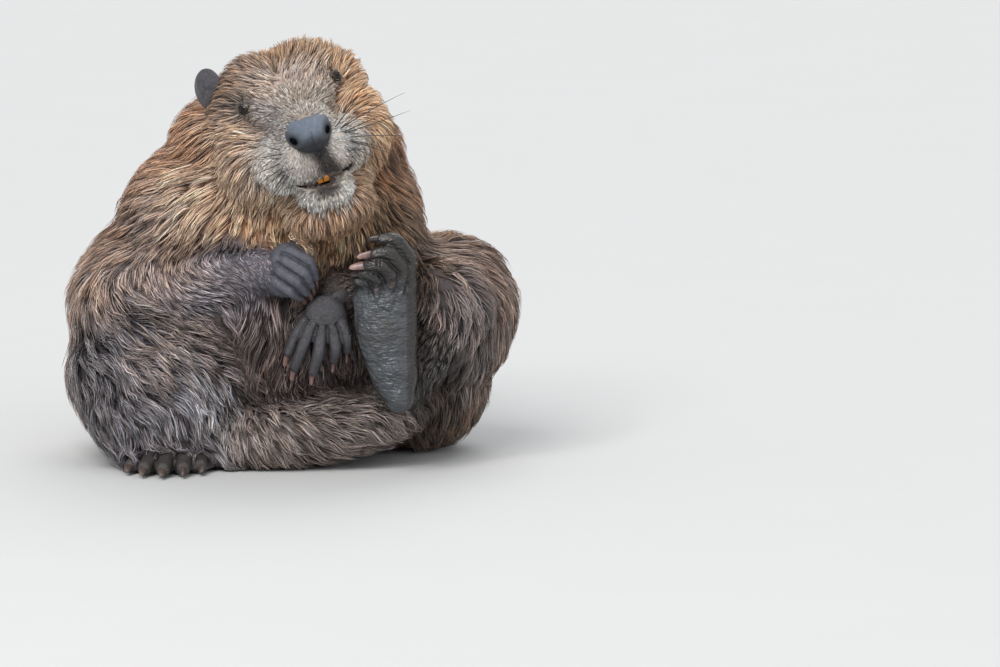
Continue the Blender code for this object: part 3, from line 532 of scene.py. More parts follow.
# The coat: how long and deep it is, how it lies, and its markings. Each row has the start and end of
# the region's middle line, its thickness, fade, length, depth and dampness, then three colours: at the
# root, in the middle and at the tip. The dark roots are partly painted shade between the locks, and the
# middle tones partly a painted sheen of wet fur.
coatRegions = {
    # on the head, in head numbers
    "face": {
        "muzzle": ((-0.012, -0.046, -0.048), (0.012, -0.046, -0.048), 0.01, 0.014, 0.006, 0.002, 0.15,
            (134, 123, 117), (192, 184, 177), (226, 218, 208)),
        "muzzleSideRight": ((-0.03, -0.024, -0.04), (-0.03, -0.02, -0.044), 0.004, 0.012, 0.0085, 0.0032, 0.2,
            (152, 141, 135), (221, 210, 200), (243, 243, 235)),
        "muzzleSideLeft": ((0.03, -0.024, -0.036), (0.03, -0.02, -0.042), 0.004, 0.012, 0.0085, 0.0032, 0.2,
            (131, 118, 107), (191, 176, 161), (223, 206, 187)),
        "patchRight": ((-0.036, -0.02, -0.046), (-0.027, -0.032, -0.065), 0.008, 0.007, 0.0085, 0.003, 0.05,
            (195, 182, 170), (239, 227, 214), (243, 243, 236)),
        "patchLeft": ((0.026, -0.032, -0.052), (0.025, -0.034, -0.064), 0.004, 0.007, 0.0085, 0.003, 0.05,
            (192, 180, 164), (236, 224, 208), (243, 243, 232)),
        "lipStripe": ((0.002, -0.06, -0.042), (0.007, -0.053, -0.067), 0.0042, 0.0042, 0.005, 0.0014, 0.6,
            (20, 17, 17), (42, 37, 35), (66, 59, 55)),
        "lipRight": ((-0.026, -0.042, -0.066), (0.004, -0.052, -0.0735), 0.0014, 0.003, 0.0042, 0.0012, 0.6,
            (38, 32, 31), (72, 65, 62), (104, 96, 90)),
        "lipLeft": ((0.006, -0.052, -0.07), (0.021, -0.043, -0.067), 0.0034, 0.0035, 0.0045, 0.0012, 0.6,
            (32, 27, 26), (56, 50, 48), (82, 75, 71)),
        "chinDark": ((-0.013, -0.05, -0.0785), (0.014, -0.048, -0.0775), 0.004, 0.004, 0.005, 0.0016, 0.5,
            (30, 25, 24), (53, 47, 45), (79, 72, 68)),
        "chinWhiteRight": ((-0.03, -0.034, -0.075), (-0.012, -0.042, -0.0875), 0.004, 0.0045, 0.0085, 0.0032, 0.05,
            (192, 184, 174), (227, 222, 215), (241, 237, 231)),
        "chinWhiteLeft": ((0.012, -0.042, -0.0875), (0.025, -0.036, -0.076), 0.004, 0.0045, 0.0085, 0.0032, 0.05,
            (209, 198, 184), (243, 239, 228), (243, 243, 243)),
        "chinLow": ((-0.012, -0.044, -0.088), (0.012, -0.044, -0.088), 0.003, 0.004, 0.0085, 0.0032, 0.1,
            (174, 164, 153), (213, 203, 193), (232, 223, 212)),
        "underChin": ((-0.026, -0.026, -0.106), (0.026, -0.026, -0.106), 0.007, 0.012, 0.017, 0.0066, 0.2,
            (108, 83, 64), (174, 136, 105), (200, 162, 128)),
        "noseBridge": ((0, -0.05, -0.008), (0, -0.03, 0.004), 0.005, 0.012, 0.007, 0.0026, 0.2,
            (106, 94, 87), (167, 153, 140), (197, 180, 164)),
        "besideNoseRight": ((-0.02, -0.034, -0.018), (-0.028, -0.016, -0.012), 0.004, 0.012, 0.008, 0.003, 0.3,
            (103, 93, 91), (158, 148, 144), (194, 178, 167)),
        "besideNoseLeft": ((0.02, -0.034, -0.016), (0.028, -0.016, -0.01), 0.004, 0.012, 0.008, 0.003, 0.2,
            (109, 97, 89), (171, 157, 145), (209, 189, 167)),
        "lidRight": ((-0.04, -0.006, -0.001), (-0.036, -0.006, -0.001), 0.004, 0.005, 0.005, 0.0014, 0.3,
            (62, 53, 49), (122, 108, 98), (172, 151, 131)),
        "lidLeft": ((0.036, -0.006, -0.001), (0.04, -0.006, -0.001), 0.004, 0.005, 0.005, 0.0014, 0.3,
            (60, 51, 47), (118, 103, 94), (167, 144, 125)),
        "forehead": ((-0.014, -0.008, 0.024), (0.014, -0.008, 0.024), 0.006, 0.018, 0.0155, 0.0056, 0.25,
            (127, 112, 105), (206, 179, 162), (240, 209, 187)),
        "cheekRight": ((-0.056, -0.002, -0.03), (-0.06, 0.006, -0.054), 0.008, 0.02, 0.023, 0.0084, 0.4,
            (139, 117, 105), (206, 175, 153), (240, 187, 139)),
        "cheekLeft": ((0.052, -0.002, -0.026), (0.056, 0.006, -0.054), 0.008, 0.02, 0.023, 0.0084, 0.15,
            (141, 104, 76), (225, 166, 119), (236, 184, 136)),
        "lowCheekRight": ((-0.046, -0.01, -0.076), (-0.036, -0.012, -0.096), 0.006, 0.016, 0.024, 0.0084, 0.25,
            (156, 123, 101), (232, 190, 157), (243, 209, 174)),
        "lowCheekLeft": ((0.044, -0.012, -0.076), (0.034, -0.012, -0.098), 0.006, 0.016, 0.024, 0.0084, 0.15,
            (148, 110, 82), (216, 170, 131), (234, 196, 156)),
    },
    "crown": {
        "crownRight": ((-0.04, 0.02, 0.022), (-0.03, 0.07, 0.034), 0.01, 0.02, 0.019, 0.0068, 0.4,
            (79, 70, 67), (127, 112, 102), (173, 116, 66)),
        "crownMiddle": ((0.0, 0.02, 0.036), (0.0, 0.075, 0.034), 0.01, 0.02, 0.019, 0.0074, 0.25,
            (78, 63, 55), (146, 113, 84), (181, 129, 79)),
        "crownLeft": ((0.03, 0.018, 0.03), (0.034, 0.06, 0.03), 0.01, 0.016, 0.022, 0.011, 0.15,
            (85, 68, 55), (167, 129, 95), (201, 153, 107)),
        "napeTop": ((0, 0.105, 0.01), (0, 0.11, -0.01), 0.01, 0.03, 0.034, 0.0096, 0.3,
            (74, 58, 47), (137, 105, 78), (178, 126, 76)),
        "earRight": ((-0.048, 0.036, 0.024), (-0.052, 0.044, 0.006), 0.007, 0.011, 0.023, 0.008, 0.3,
            (72, 62, 56), (126, 106, 88), (176, 128, 82)),
        "earLeft": ((0.05, 0.056, 0.01), (0.052, 0.066, 0.004), 0.004, 0.012, 0.017, 0.0064, 0.2,
            (76, 62, 52), (152, 118, 86), (192, 142, 92)),
        "throat": ((-0.022, -0.02, -0.116), (0.022, -0.02, -0.116), 0.01, 0.018, 0.026, 0.0084, 0.25,
            (140, 101, 73), (225, 166, 120), (243, 187, 136)),
    },
    # on the body
    "neckRight": {
        "neckRight": ((-0.06, -0.07, 0.29), (-0.11, -0.035, 0.24), 0.012, 0.026, 0.04, 0.0098, 0.35,
            (111, 87, 74), (179, 140, 115), (219, 146, 92)),
        "ruffRight": ((-0.074, -0.092, 0.238), (-0.094, -0.102, 0.182), 0.012, 0.02, 0.033, 0.0096, 0.35,
            (139, 110, 93), (226, 182, 151), (243, 201, 163)),
        "shoulderRight": ((-0.105, -0.04, 0.232), (-0.128, -0.02, 0.195), 0.015, 0.034, 0.041, 0.0098, 0.6,
            (90, 76, 71), (150, 126, 113), (188, 132, 90)),
    },
    "flankRight": {
        "flankRight": ((-0.15, -0.01, 0.165), (-0.165, 0.01, 0.12), 0.015, 0.036, 0.044, 0.0098, 0.75,
            (119, 104, 99), (208, 183, 171), (241, 189, 153)),
        "haunchRight": ((-0.15, 0.06, 0.11), (-0.14, 0.08, 0.05), 0.015, 0.045, 0.036, 0.0096, 0.55,
            (72, 64, 60), (130, 116, 106), (164, 132, 100)),
    },
    "front": {
        "chest": ((-0.02, -0.112, 0.225), (0.03, -0.112, 0.215), 0.01, 0.026, 0.027, 0.008, 0.4,
            (127, 95, 72), (221, 167, 125), (243, 195, 150)),
        "belly": ((-0.05, -0.125, 0.12), (0.0, -0.13, 0.095), 0.012, 0.034, 0.034, 0.0078, 0.9,
            (45, 38, 35), (87, 72, 70), (121, 105, 99)),
        "sideBelly": ((-0.11, -0.105, 0.13), (-0.12, -0.105, 0.11), 0.01, 0.026, 0.038, 0.0084, 0.85,
            (72, 65, 70), (133, 122, 123), (173, 150, 133)),
        "lowBelly": ((-0.01, -0.135, 0.03), (0.06, -0.13, 0.03), 0.01, 0.03, 0.03, 0.0076, 0.85,
            (65, 57, 52), (126, 111, 104), (164, 146, 136)),
    },
    "arms": {
        "upperArmRight": ((-0.084, -0.08, 0.2), (-0.104, -0.1, 0.168), 0.014, 0.02, 0.029, 0.0064, 0.85,
            (78, 69, 70), (149, 132, 130), (196, 160, 135)),
        # the right forearm and wrist: dark grey fur, with lighter blue-grey tones that are a painted wet sheen
        "forearmRight": ((-0.092, -0.094, 0.153), (-0.048, -0.114, 0.161), 0.024, 0.009, 0.019, 0.0026, 1.0,
            (67, 61, 67), (125, 115, 121), (191, 180, 186)),
        "wristRight": ((-0.046, -0.116, 0.161), (-0.024, -0.125, 0.165), 0.016, 0.006, 0.0065, 0.0012, 0.3,
            (56, 53, 59), (106, 101, 111), (152, 144, 155)),
        "upperArmLeft": ((0.078, -0.07, 0.195), (0.09, -0.085, 0.165), 0.014, 0.018, 0.022, 0.0066, 0.6,
            (50, 39, 32), (104, 81, 62), (146, 111, 76)),
        "forearmLeft": ((0.088, -0.085, 0.148), (0.056, -0.108, 0.147), 0.022, 0.009, 0.0115, 0.003, 0.9,
            (45, 37, 34), (90, 75, 68), (133, 114, 101)),
        "wristLeft": ((0.056, -0.11, 0.147), (0.04, -0.123, 0.146), 0.014, 0.006, 0.006, 0.0012, 0.3,
            (35, 29, 28), (62, 53, 49), (86, 75, 69)),
    },
    "neckLeft": {
        "neckLeft": ((0.062, -0.07, 0.275), (0.086, -0.045, 0.245), 0.012, 0.03, 0.03, 0.0096, 0.45,
            (74, 53, 41), (139, 102, 76), (204, 135, 80)),
        "shoulderLeft": ((0.1, -0.035, 0.23), (0.118, -0.01, 0.195), 0.012, 0.034, 0.034, 0.0096, 0.45,
            (72, 54, 41), (146, 110, 81), (200, 142, 96)),
    },
    "flankLeft": {
        "flankLeft": ((0.125, 0.04, 0.17), (0.132, 0.06, 0.12), 0.015, 0.045, 0.036, 0.0096, 0.4,
            (67, 51, 40), (131, 101, 77), (175, 129, 88)),
        "haunchLeft": ((0.13, 0.06, 0.08), (0.125, 0.07, 0.04), 0.015, 0.045, 0.033, 0.009, 0.45,
            (50, 40, 33), (97, 79, 66), (132, 106, 80)),
    },
    "thighRight": {
        "thighRight": ((-0.17, -0.05, 0.11), (-0.15, -0.105, 0.07), 0.015, 0.028, 0.043, 0.0088, 1.0,
            (45, 41, 43), (101, 94, 97), (138, 129, 130)),
        "kneeRight": ((-0.15, -0.115, 0.035), (-0.095, -0.138, 0.04), 0.012, 0.026, 0.036, 0.008, 1.0,
            (50, 46, 50), (117, 110, 115), (164, 156, 160)),
        # painted highlight: a pale grey-blue region standing in for the wet sheen along the right knee's edge
        "kneeEdge": ((-0.078, -0.134, 0.066), (-0.026, -0.14, 0.082), 0.006, 0.013, 0.028, 0.0076, 1.0,
            (90, 85, 88), (166, 160, 166), (200, 198, 204)),
        "vent": ((-0.052, -0.138, 0.044), (0.055, -0.138, 0.066), 0.008, 0.016, 0.026, 0.0072, 0.7,
            (74, 68, 66), (140, 130, 125), (176, 164, 157)),
        "footTopRight": ((-0.095, -0.11, 0.018), (-0.095, -0.135, 0.014), 0.008, 0.016, 0.012, 0.003, 0.85,
            (34, 31, 31), (74, 68, 66), (106, 98, 94)),
    },
    "thighLeft": {
        "thighLeft": ((0.14, -0.075, 0.175), (0.175, -0.04, 0.13), 0.015, 0.028, 0.038, 0.0084, 0.7,
            (63, 51, 48), (129, 105, 93), (172, 140, 120)),
        "kneeLeft": ((0.108, -0.112, 0.08), (0.135, -0.1, 0.045), 0.01, 0.02, 0.026, 0.0074, 0.85,
            (31, 24, 21), (64, 52, 46), (96, 80, 69)),
        "thighLeftFront": ((0.135, -0.106, 0.142), (0.165, -0.088, 0.1), 0.012, 0.022, 0.036, 0.008, 0.85,
            (52, 46, 47), (108, 95, 93), (146, 131, 124)),
        "shankLeft": ((0.122, -0.1, 0.105), (0.104, -0.115, 0.08), 0.02, 0.01, 0.013, 0.0034, 0.85,
            (19, 17, 16), (47, 41, 38), (71, 64, 58)),
        "ankleLeft": ((0.1, -0.122, 0.074), (0.094, -0.13, 0.064), 0.014, 0.006, 0.007, 0.0014, 0.3,
            (32, 29, 28), (64, 58, 55), (92, 84, 78)),
    },
    "back": {
        "upperBack": ((0, 0.07, 0.28), (0, 0.115, 0.225), 0.02, 0.06, 0.034, 0.0096, 0.3,
            (69, 55, 44), (135, 107, 82), (179, 132, 85)),
        "midBack": ((-0.01, 0.14, 0.19), (-0.01, 0.155, 0.13), 0.02, 0.06, 0.037, 0.0096, 0.3,
            (65, 52, 42), (125, 101, 78), (168, 127, 85)),
    },
    "rump": {
        "rump": ((-0.02, 0.165, 0.08), (0.02, 0.17, 0.06), 0.02, 0.05, 0.035, 0.0096, 0.4,
            (62, 52, 45), (118, 99, 81), (160, 130, 98)),
        "tailRoot": ((0.072, 0.14, 0.03), (0.078, 0.165, 0.024), 0.024, 0.014, 0.015, 0.0044, 0.35,
            (50, 43, 37), (98, 83, 68), (138, 116, 92)),
        "tailWaist": ((0.08, 0.178, 0.02), (0.082, 0.19, 0.018), 0.018, 0.008, 0.008, 0.0014, 0.35,
            (42, 37, 34), (76, 66, 57), (106, 93, 80)),
    },
}
regionNames = [(group, name) for group, rows in coatRegions.items() for name in rows]
regionRows = [coatRegions[group][name] for group, name in regionNames]
onHead = np.array([group in ("face", "crown") for group, _ in regionNames])[:, None]


def toFrame(column):
    # one column of the rows' places, in the frame
    places = np.array([row[column] for row in regionRows])
    return np.where(onHead, fromHead(places), places + bodyShift)


regionStarts, regionEnds = toFrame(0), toFrame(1) + 1e-9
regionCore, regionFade = np.array([row[2:4] for row in regionRows]).T
pulls = {  # small regions that hold their ground against the large ones round them; 1 where not named
    "lipStripe": 12, "lipRight": 4, "lipLeft": 5, "chinDark": 2.5, "patchRight": 3, "patchLeft": 2,
    "chinWhiteRight": 3, "chinWhiteLeft": 3, "chinLow": 3, "underChin": 3,
}
regionPull = np.array([pulls.get(name, 1) for _, name in regionNames])
regionFacts = np.array([row[4:7] for row in regionRows])
regionColours = linear([row[7:10] for row in regionRows])  # region x (root, middle, tip) x rgb


def coatShares(points):
    # how much of each region there is at a point: its pull times exp(-3.2 (distance to its line - thickness)
    # / fade), made to add up to one
    shares = np.empty((len(points), len(regionCore)))
    for i in range(len(regionCore)):
        away = distanceToLines(points, regionStarts[i:i + 1], regionEnds[i:i + 1])[:, 0]
        shares[:, i] = regionPull[i] * np.exp(-3.2 * np.maximum(away - regionCore[i], 0) / regionFade[i])
    return shares / (shares.sum(1, keepdims=True) + 1e-30)


combStrokes = {  # the lie of the coat: start, end, reach and strength
    "napeDown": ((0.0, 0.035, 0.32), (0.0, 0.095, 0.27), 0.06, 1.0),
    "backUpper": ((0.0, 0.1, 0.27), (-0.005, 0.145, 0.19), 0.07, 1.0),
    "backLower": ((-0.005, 0.15, 0.18), (0.01, 0.17, 0.08), 0.07, 1.0),
    "rumpDown": ((0.0, 0.172, 0.08), (0.03, 0.19, 0.02), 0.05, 0.8),
    "tailAlong": ((0.06, 0.11, 0.06), (0.086, 0.215, 0.02), 0.04, 1.4),
    "neckRight": ((-0.05, -0.09, 0.275), (-0.12, -0.04, 0.225), 0.04, 1.5),
    "shoulderRight": ((-0.085, -0.075, 0.235), (-0.15, -0.03, 0.185), 0.038, 1.6),
    "flankRight": ((-0.14, -0.02, 0.19), (-0.185, -0.005, 0.1), 0.05, 1.2),
    "haunchRight": ((-0.155, 0.06, 0.16), (-0.14, 0.11, 0.05), 0.06, 1.0),
    "chestDown": ((-0.005, -0.12, 0.25), (-0.01, -0.135, 0.15), 0.035, 1.0),
    "upperArmRight": ((-0.08, -0.095, 0.215), (-0.11, -0.115, 0.16), 0.025, 1.6),
    "elbowRight": ((-0.108, -0.112, 0.16), (-0.075, -0.132, 0.15), 0.02, 1.6),
    "forearmRight": ((-0.08, -0.13, 0.155), (-0.015, -0.15, 0.166), 0.02, 2.4),
    "upperArmLeft": ((0.07, -0.085, 0.215), (0.1, -0.105, 0.16), 0.025, 1.6),
    "elbowLeft": ((0.098, -0.105, 0.155), (0.075, -0.128, 0.142), 0.02, 1.4),
    "forearmLeft": ((0.085, -0.115, 0.148), (0.03, -0.15, 0.145), 0.02, 2.0),
    "bellyDown": ((-0.02, -0.135, 0.14), (-0.045, -0.135, 0.06), 0.05, 1.0),
    "lowBelly": ((-0.02, -0.135, 0.052), (0.085, -0.135, 0.026), 0.032, 1.4),
    "beltRight": ((-0.172, -0.07, 0.136), (-0.08, -0.125, 0.11), 0.026, 2.2),
    "thighRightOver": ((-0.168, -0.075, 0.104), (-0.06, -0.13, 0.08), 0.026, 2.6),
    "thighRightOut": ((-0.184, -0.035, 0.095), (-0.165, -0.085, 0.022), 0.028, 1.9),
    "thighRightDown": ((-0.15, -0.1, 0.066), (-0.112, -0.122, 0.02), 0.026, 2.0),
    "kneeRightIn": ((-0.095, -0.135, 0.062), (-0.055, -0.14, 0.014), 0.024, 1.4),
    "kneeRightDown": ((-0.165, -0.1, 0.05), (-0.155, -0.11, 0.005), 0.03, 1.0),
    "neckLeft": ((0.05, -0.09, 0.285), (0.105, -0.05, 0.225), 0.04, 1.2),
    "shoulderLeft": ((0.1, -0.05, 0.23), (0.14, 0.0, 0.17), 0.04, 1.2),
    "flankLeft": ((0.125, 0.03, 0.19), (0.15, 0.06, 0.08), 0.055, 1.0),
    "thighLeftUp": ((0.095, -0.06, 0.18), (0.15, -0.075, 0.18), 0.03, 1.3),
    "thighLeftOver": ((0.15, -0.09, 0.17), (0.19, -0.06, 0.11), 0.035, 1.3),
    "kneeLeftFront": ((0.14, -0.125, 0.14), (0.15, -0.12, 0.08), 0.028, 1.3),
    "thighLeftDown": ((0.185, -0.04, 0.11), (0.175, -0.01, 0.03), 0.045, 1.0),
    "shankLeft": ((0.135, -0.115, 0.11), (0.092, -0.15, 0.062), 0.02, 1.8),
    "buttockLeft": ((0.15, 0.03, 0.08), (0.13, 0.07, 0.01), 0.045, 0.8),
}
folds = {  # creases between the body's forms, carved into the skin and darkened with painted shade: the points of a line, how deep and how wide
    "bellyThigh": ([(-0.1525, -0.085, 0.13), (-0.0918, -0.12, 0.119),
        (-0.0435, -0.133, 0.1107), (-0.0115, -0.138, 0.097)], 0.008, 0.0052),
    "thighVent": ([(0.0451, -0.14, 0.101), (-0.0074, -0.14, 0.079),
        (-0.0517, -0.14, 0.061), (-0.0759, -0.138, 0.0446)], 0.0055, 0.0042),
    "underArmRight": ([(-0.122, -0.085, 0.14), (-0.09, -0.11, 0.133), (-0.045, -0.124, 0.14)], 0.006, 0.0055),
    "overArmRight": ([(-0.106, -0.085, 0.188), (-0.075, -0.104, 0.184), (-0.04, -0.118, 0.182)],
        0.0035, 0.005),
    "neckLeft": ([(0.066, -0.08, 0.27), (0.068, -0.09, 0.24), (0.056, -0.1, 0.214)], 0.0055, 0.007),
    "thighLeft": ([(0.098, -0.07, 0.184), (0.108, -0.1, 0.15), (0.112, -0.115, 0.12)], 0.006, 0.0065),
    "kneeLeftLow": ([(0.118, -0.118, 0.062), (0.15, -0.1, 0.05), (0.176, -0.06, 0.04)], 0.005, 0.006),
}


def foldShare(points, deep=False):
    # the largest exp(-(distance to a fold / its width)^2): times its depth for the form, wider for the shadow
    best = np.zeros(len(points))
    for knots, depth, wide in folds.values():
        k = np.array(knots) + bodyShift
        away = distanceToLines(points, k[:-1], k[1:]).min(1)
        wide, depth = (wide, depth) if deep else (1.5 * wide, 1.0)
        best = np.maximum(best, np.exp(-((away / wide) ** 2)) * depth)
    return best


strokeColumns = [np.array(column) for column in zip(*combStrokes.values())]
strokeStarts, strokeEnds, strokeReach, strokeStrength = strokeColumns
strokeStarts, strokeEnds = strokeStarts + bodyShift, strokeEnds + bodyShift
strokeWay = unit(strokeEnds - strokeStarts)
noseTip = fromHead([(0, -0.062, -0.026)])[0]
eyeCentres = {-1: boxMiddle("eye_right"), 1: boxMiddle("eye_left")}


lie = {  # how strongly each thing turns the coat
    "strokes": 1.6, "head": 1.5, "eyes": 2.0, "ear": 2.2, "swirl": 0.26, "brow": 1.3, "lowCheek": 0.9,
}


def faceShare(points):
    # 1 on the head and 0 on the neck, by an oval round the head
    h = toHead(points) - (0, 0.02, -0.03)
    return 1 - ease(np.linalg.norm(h / (0.088, 0.092, 0.088), axis=1), 0.86, 1.12)


def lieOfCoat(points, normals):
    # the sum of the strokes near a point, laid into its surface; on the head it runs back from the nose
    way = np.zeros_like(points) + (0, 0.12, -0.35)
    reach = distanceToLines(points, strokeStarts, strokeEnds) / strokeReach
    way = way + (np.exp(-(reach**2)) * strokeStrength) @ strokeWay * lie["strokes"]
    h = toHead(points)
    fromNose = unit(points - noseTip) + headTurn @ np.array((0, 0.15, -0.1))
    fromNose = fromNose + ease(h[:, 1], 0.02, 0.085)[:, None] * np.array((0, 0.25, -1.1))
    lowCheek = (ease(-h[:, 2], 0.01, 0.06) * ease(np.abs(h[:, 0]), 0.026, 0.044))[:, None]
    fromNose = fromNose + lie["lowCheek"] * lowCheek * np.array((0, 0.1, -1.0))
    share = faceShare(points)[:, None]
    way = way * (1 - share) + lie["head"] * fromNose * share
    for side in (-1, 1):
        away = points - eyeCentres[side]
        way = way + unit(away) * bell(points, eyeCentres[side], 0.0095)[:, None] * lie["eyes"]
    overEar = headTurn @ np.array((-1.0, -0.15, 0.25))
    byEar = bell(points, fromHead([(-0.05, 0.04, 0.018)])[0], 0.014)
    way = way + overEar * (byEar * lie["ear"])[:, None]
    swirl = np.stack([softNoise(points + moved, 0.036) for moved in (0, 7, 3)], 1)
    brow = np.exp(-np.sum(((h - (0, -0.004, 0.024)) / (0.034, 0.03, 0.022)) ** 2, 1))[:, None]
    arc = [0.9 * np.sign(h[:, 0] + 0.004), np.full(len(h), 0.2), -0.55 * np.abs(h[:, 0]) / 0.03]
    arc = np.stack(arc, 1) @ headTurn.T
    way = way + lie["swirl"] * swirl + lie["brow"] * brow * arc
    return laid(way, normals)


# One skin over all the flesh

mouthLine = [  # across and up, from the right corner of the mouth to the left
    (-0.0265, -0.0655), (-0.02, -0.07), (-0.01, -0.0735), (0.003, -0.0745),
    (0.012, -0.0725), (0.02, -0.069), (0.025, -0.065),
]
padOvals = {  # ovals behind and round the nose pad: middle and half sizes
    "thinCoat": ((0, -0.058, -0.029), (0.019, 0.016, 0.015)),
    "hollow": ((0, -0.06, -0.03), (0.0172, 0.024, 0.014)),
    "bare": ((0, -0.06, -0.03), (0.0172, 0.02, 0.0136)),
    # bare skin in this oval is painted nearly black, as painted shade in the hollow behind the pad
    "dark": ((0, -0.058, -0.03), (0.024, 0.03, 0.02)),
}
soleCreases = [  # across and up the raised sole
    [(0.0609, 0.16), (0.069, 0.1505), (0.0707, 0.1405), (0.0695, 0.13)],
    [(0.0707, 0.142), (0.08, 0.137), (0.0944, 0.1325)],
    [(0.0806, 0.1565), (0.076, 0.1485), (0.0707, 0.142)],
    [(0.0925, 0.1585), (0.088, 0.1475), (0.085, 0.137)],
]
solePads = [((0.094, -0.162, 0.118), 0.016), ((0.07, -0.162, 0.122), 0.013), ((0.084, -0.162, 0.146), 0.014)]


carving = {  # how deep the carved forms are, and how far the sole's pads and bumps stand out
    "mouth": 0.013, "lipGroove": 0.0034, "behindPad": 0.011, "betweenDigits": 0.0019,
    "soleCrease": 0.0012, "solePad": 0.0009, "smallBump": 0.0004, "largeBump": 0.0005,
}


def outOfOval(h, name):
    # how far out of the named oval: 0 in its middle, 1 on its surface
    middle, half = padOvals[name]
    return np.linalg.norm((h - middle) / half, axis=1)


def mouthHeight(x):
    # the height of the line between the lips at each place across
    knots = np.array(mouthLine)
    return np.interp(x, knots[:, 0], knots[:, 1])


def carve(verts, normals):
    # the soft forms that show through the coat or on bare skin
    h = toHead(verts)
    # the lips part along a low arc, open a little at the animal's left of the middle
    wide = 0.0014 + 0.003 * np.exp(-(((h[:, 0] - 0.008) / 0.009) ** 2))
    slot = np.exp(-(((h[:, 2] - mouthHeight(h[:, 0])) / wide) ** 2))
    slot = slot * (1 - ease(np.abs(h[:, 0]), 0.022, 0.027)) * (1 - ease(h[:, 1], -0.034, -0.02))
    inward = headTurn @ np.array((0, 1.0, 0.05))
    verts = verts + slot[:, None] * inward * carving["mouth"]
    # a groove runs from the nose to the lip
    groove = np.exp(-(((h[:, 0] - 0.0015) / 0.0024) ** 2)) * ease(-h[:, 2], 0.04, 0.048)
    groove = groove * (1 - ease(-h[:, 2], 0.068, 0.074)) * (1 - ease(h[:, 1], -0.045, -0.03))
    verts = verts + groove[:, None] * inward * carving["lipGroove"]
    # a hollow behind the nose pad, deep enough for the nostrils
    hollow = (1 - ease(outOfOval(h, "hollow"), 0.72, 1.0)) * carving["behindPad"]
    verts = verts + hollow[:, None] * inward
    # creases between the digits and across the raised sole, and pads behind its toes
    d = verts - bodyShift
    reach, between = pawForm(verts)
    bare = 1 - ease(reach, 0.001, 0.004)
    cut = bare * carving["betweenDigits"] * np.exp(-((between / 0.0016) ** 2))
    verts = verts - normals * cut[:, None]
    sole = ease(-normals[:, 1], 0.25, 0.7) * onPaw(verts, "foot_left") * (1 - ease(d[:, 2], 0.158, 0.172))
    creased = np.zeros(len(d))
    for line in soleCreases:
        k = np.insert(np.array(line), 1, 0, axis=1)
        away = distanceToLines(d * (1, 0, 1), k[:-1], k[1:]).min(1)
        creased = np.maximum(creased, np.exp(-((away / 0.0013) ** 2)))
    pads = sum(bell(d, middle, reach) for middle, reach in solePads)
    form = carving["solePad"] * pads + carving["smallBump"] * softNoise(d, 0.0035)
    form = form + carving["largeBump"] * softNoise(d, 0.009) - carving["soleCrease"] * creased
    return verts + normals * (sole * form)[:, None]


def makeSkin():
    # all the masses blended into one surface, smoothed, sunk by the coat's depth, folded, carved and
    # thinned
    verts, tris, quads = together(fleshPieces())
    made = addObject("skinDraft", meshFrom("skinDraft", verts, [tris, quads]))
    remesh = made.modifiers.new("blend", "REMESH")
    remesh.mode = "VOXEL"
    remesh.voxel_size = skinSettings["voxel"]
    mesh = evaluated(made)
    verts, tris, edges = readMesh(mesh)
    print("skin blended:", len(verts), "vertices")
    paw = 1 - ease(pawDistance(verts), 0.0, 0.006)
    blade = ease(verts[:, 1] - bodyShift[1], 0.19, 0.205)
    face = faceShare(verts)
    front = face * (1 - ease(toHead(verts)[:, 1], 0.0, 0.04))
    weight = 0.5 * (1 - np.maximum(paw, blade))
    verts = relax(verts, edges, skinSettings["pawSmoothing"], np.full(len(verts), 0.5))
    verts = relax(verts, edges, skinSettings["faceSmoothing"], weight)
    verts = relax(verts, edges, skinSettings["bodySmoothing"], weight * (1 - front))
    normals = vertexNormals(verts, tris)
    depth = coatShares(verts) @ regionFacts[:, 1]
    depth = depth * (1 - np.maximum(paw, blade))
    depth = depth * ease(outOfOval(toHead(verts), "thinCoat"), 0.7, 1.1)
    depth = depth * (1 - 0.6 * sum(bell(verts, eyeCentres[side], 0.009) for side in (-1, 1)))
    normals = unit(relax(normals, edges, 4, np.full(len(verts), 0.7)))
    verts = verts - normals * depth[:, None]
    verts = relax(verts, edges, 4, weight * (1 - front))
    verts = verts - normals * (foldShare(verts, True) * (1 - face) * (1 - paw))[:, None]
    verts = carve(verts, vertexNormals(verts, tris))
    verts[:, 2] = np.maximum(verts[:, 2], 0.0004)
    mesh.vertices.foreach_set("co", verts.astype(np.float32).ravel())
    mesh.update()
    made = addObject("skinDraft", mesh)
    keep = made.vertex_groups.new(name="thin")
    detail = np.maximum.reduce([0.93 * paw, 0.97 * front, 0.6 * blade, 0.35 * face])
    level = np.round((1 - detail) * 12).astype(int)
    for step in range(1, 13):
        keep.add(np.flatnonzero(level == step).tolist(), step / 12, "REPLACE")
    thin = made.modifiers.new("thin", "DECIMATE")
    thin.ratio = skinSettings["triangles"] / len(tris)
    thin.vertex_group = "thin"
    thin.vertex_group_factor = 4
    mesh = evaluated(made)
    verts, tris, _ = readMesh(mesh)
    print("skin thinned:", len(tris), "triangles")
    return verts, tris


eyeRadius = (np.array(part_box("eye_right")[1]) - np.array(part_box("eye_right")[0])).max() / 2
eyeAxes = {side: unit(headTurn @ np.array((side * 0.62, -0.77, 0.08))) for side in (-1, 1)}
lids = {"halfWidth": 0.0044, "halfHeight": 0.0037, "thickness": 0.0007, "droop": 0.9, "cap": 85}


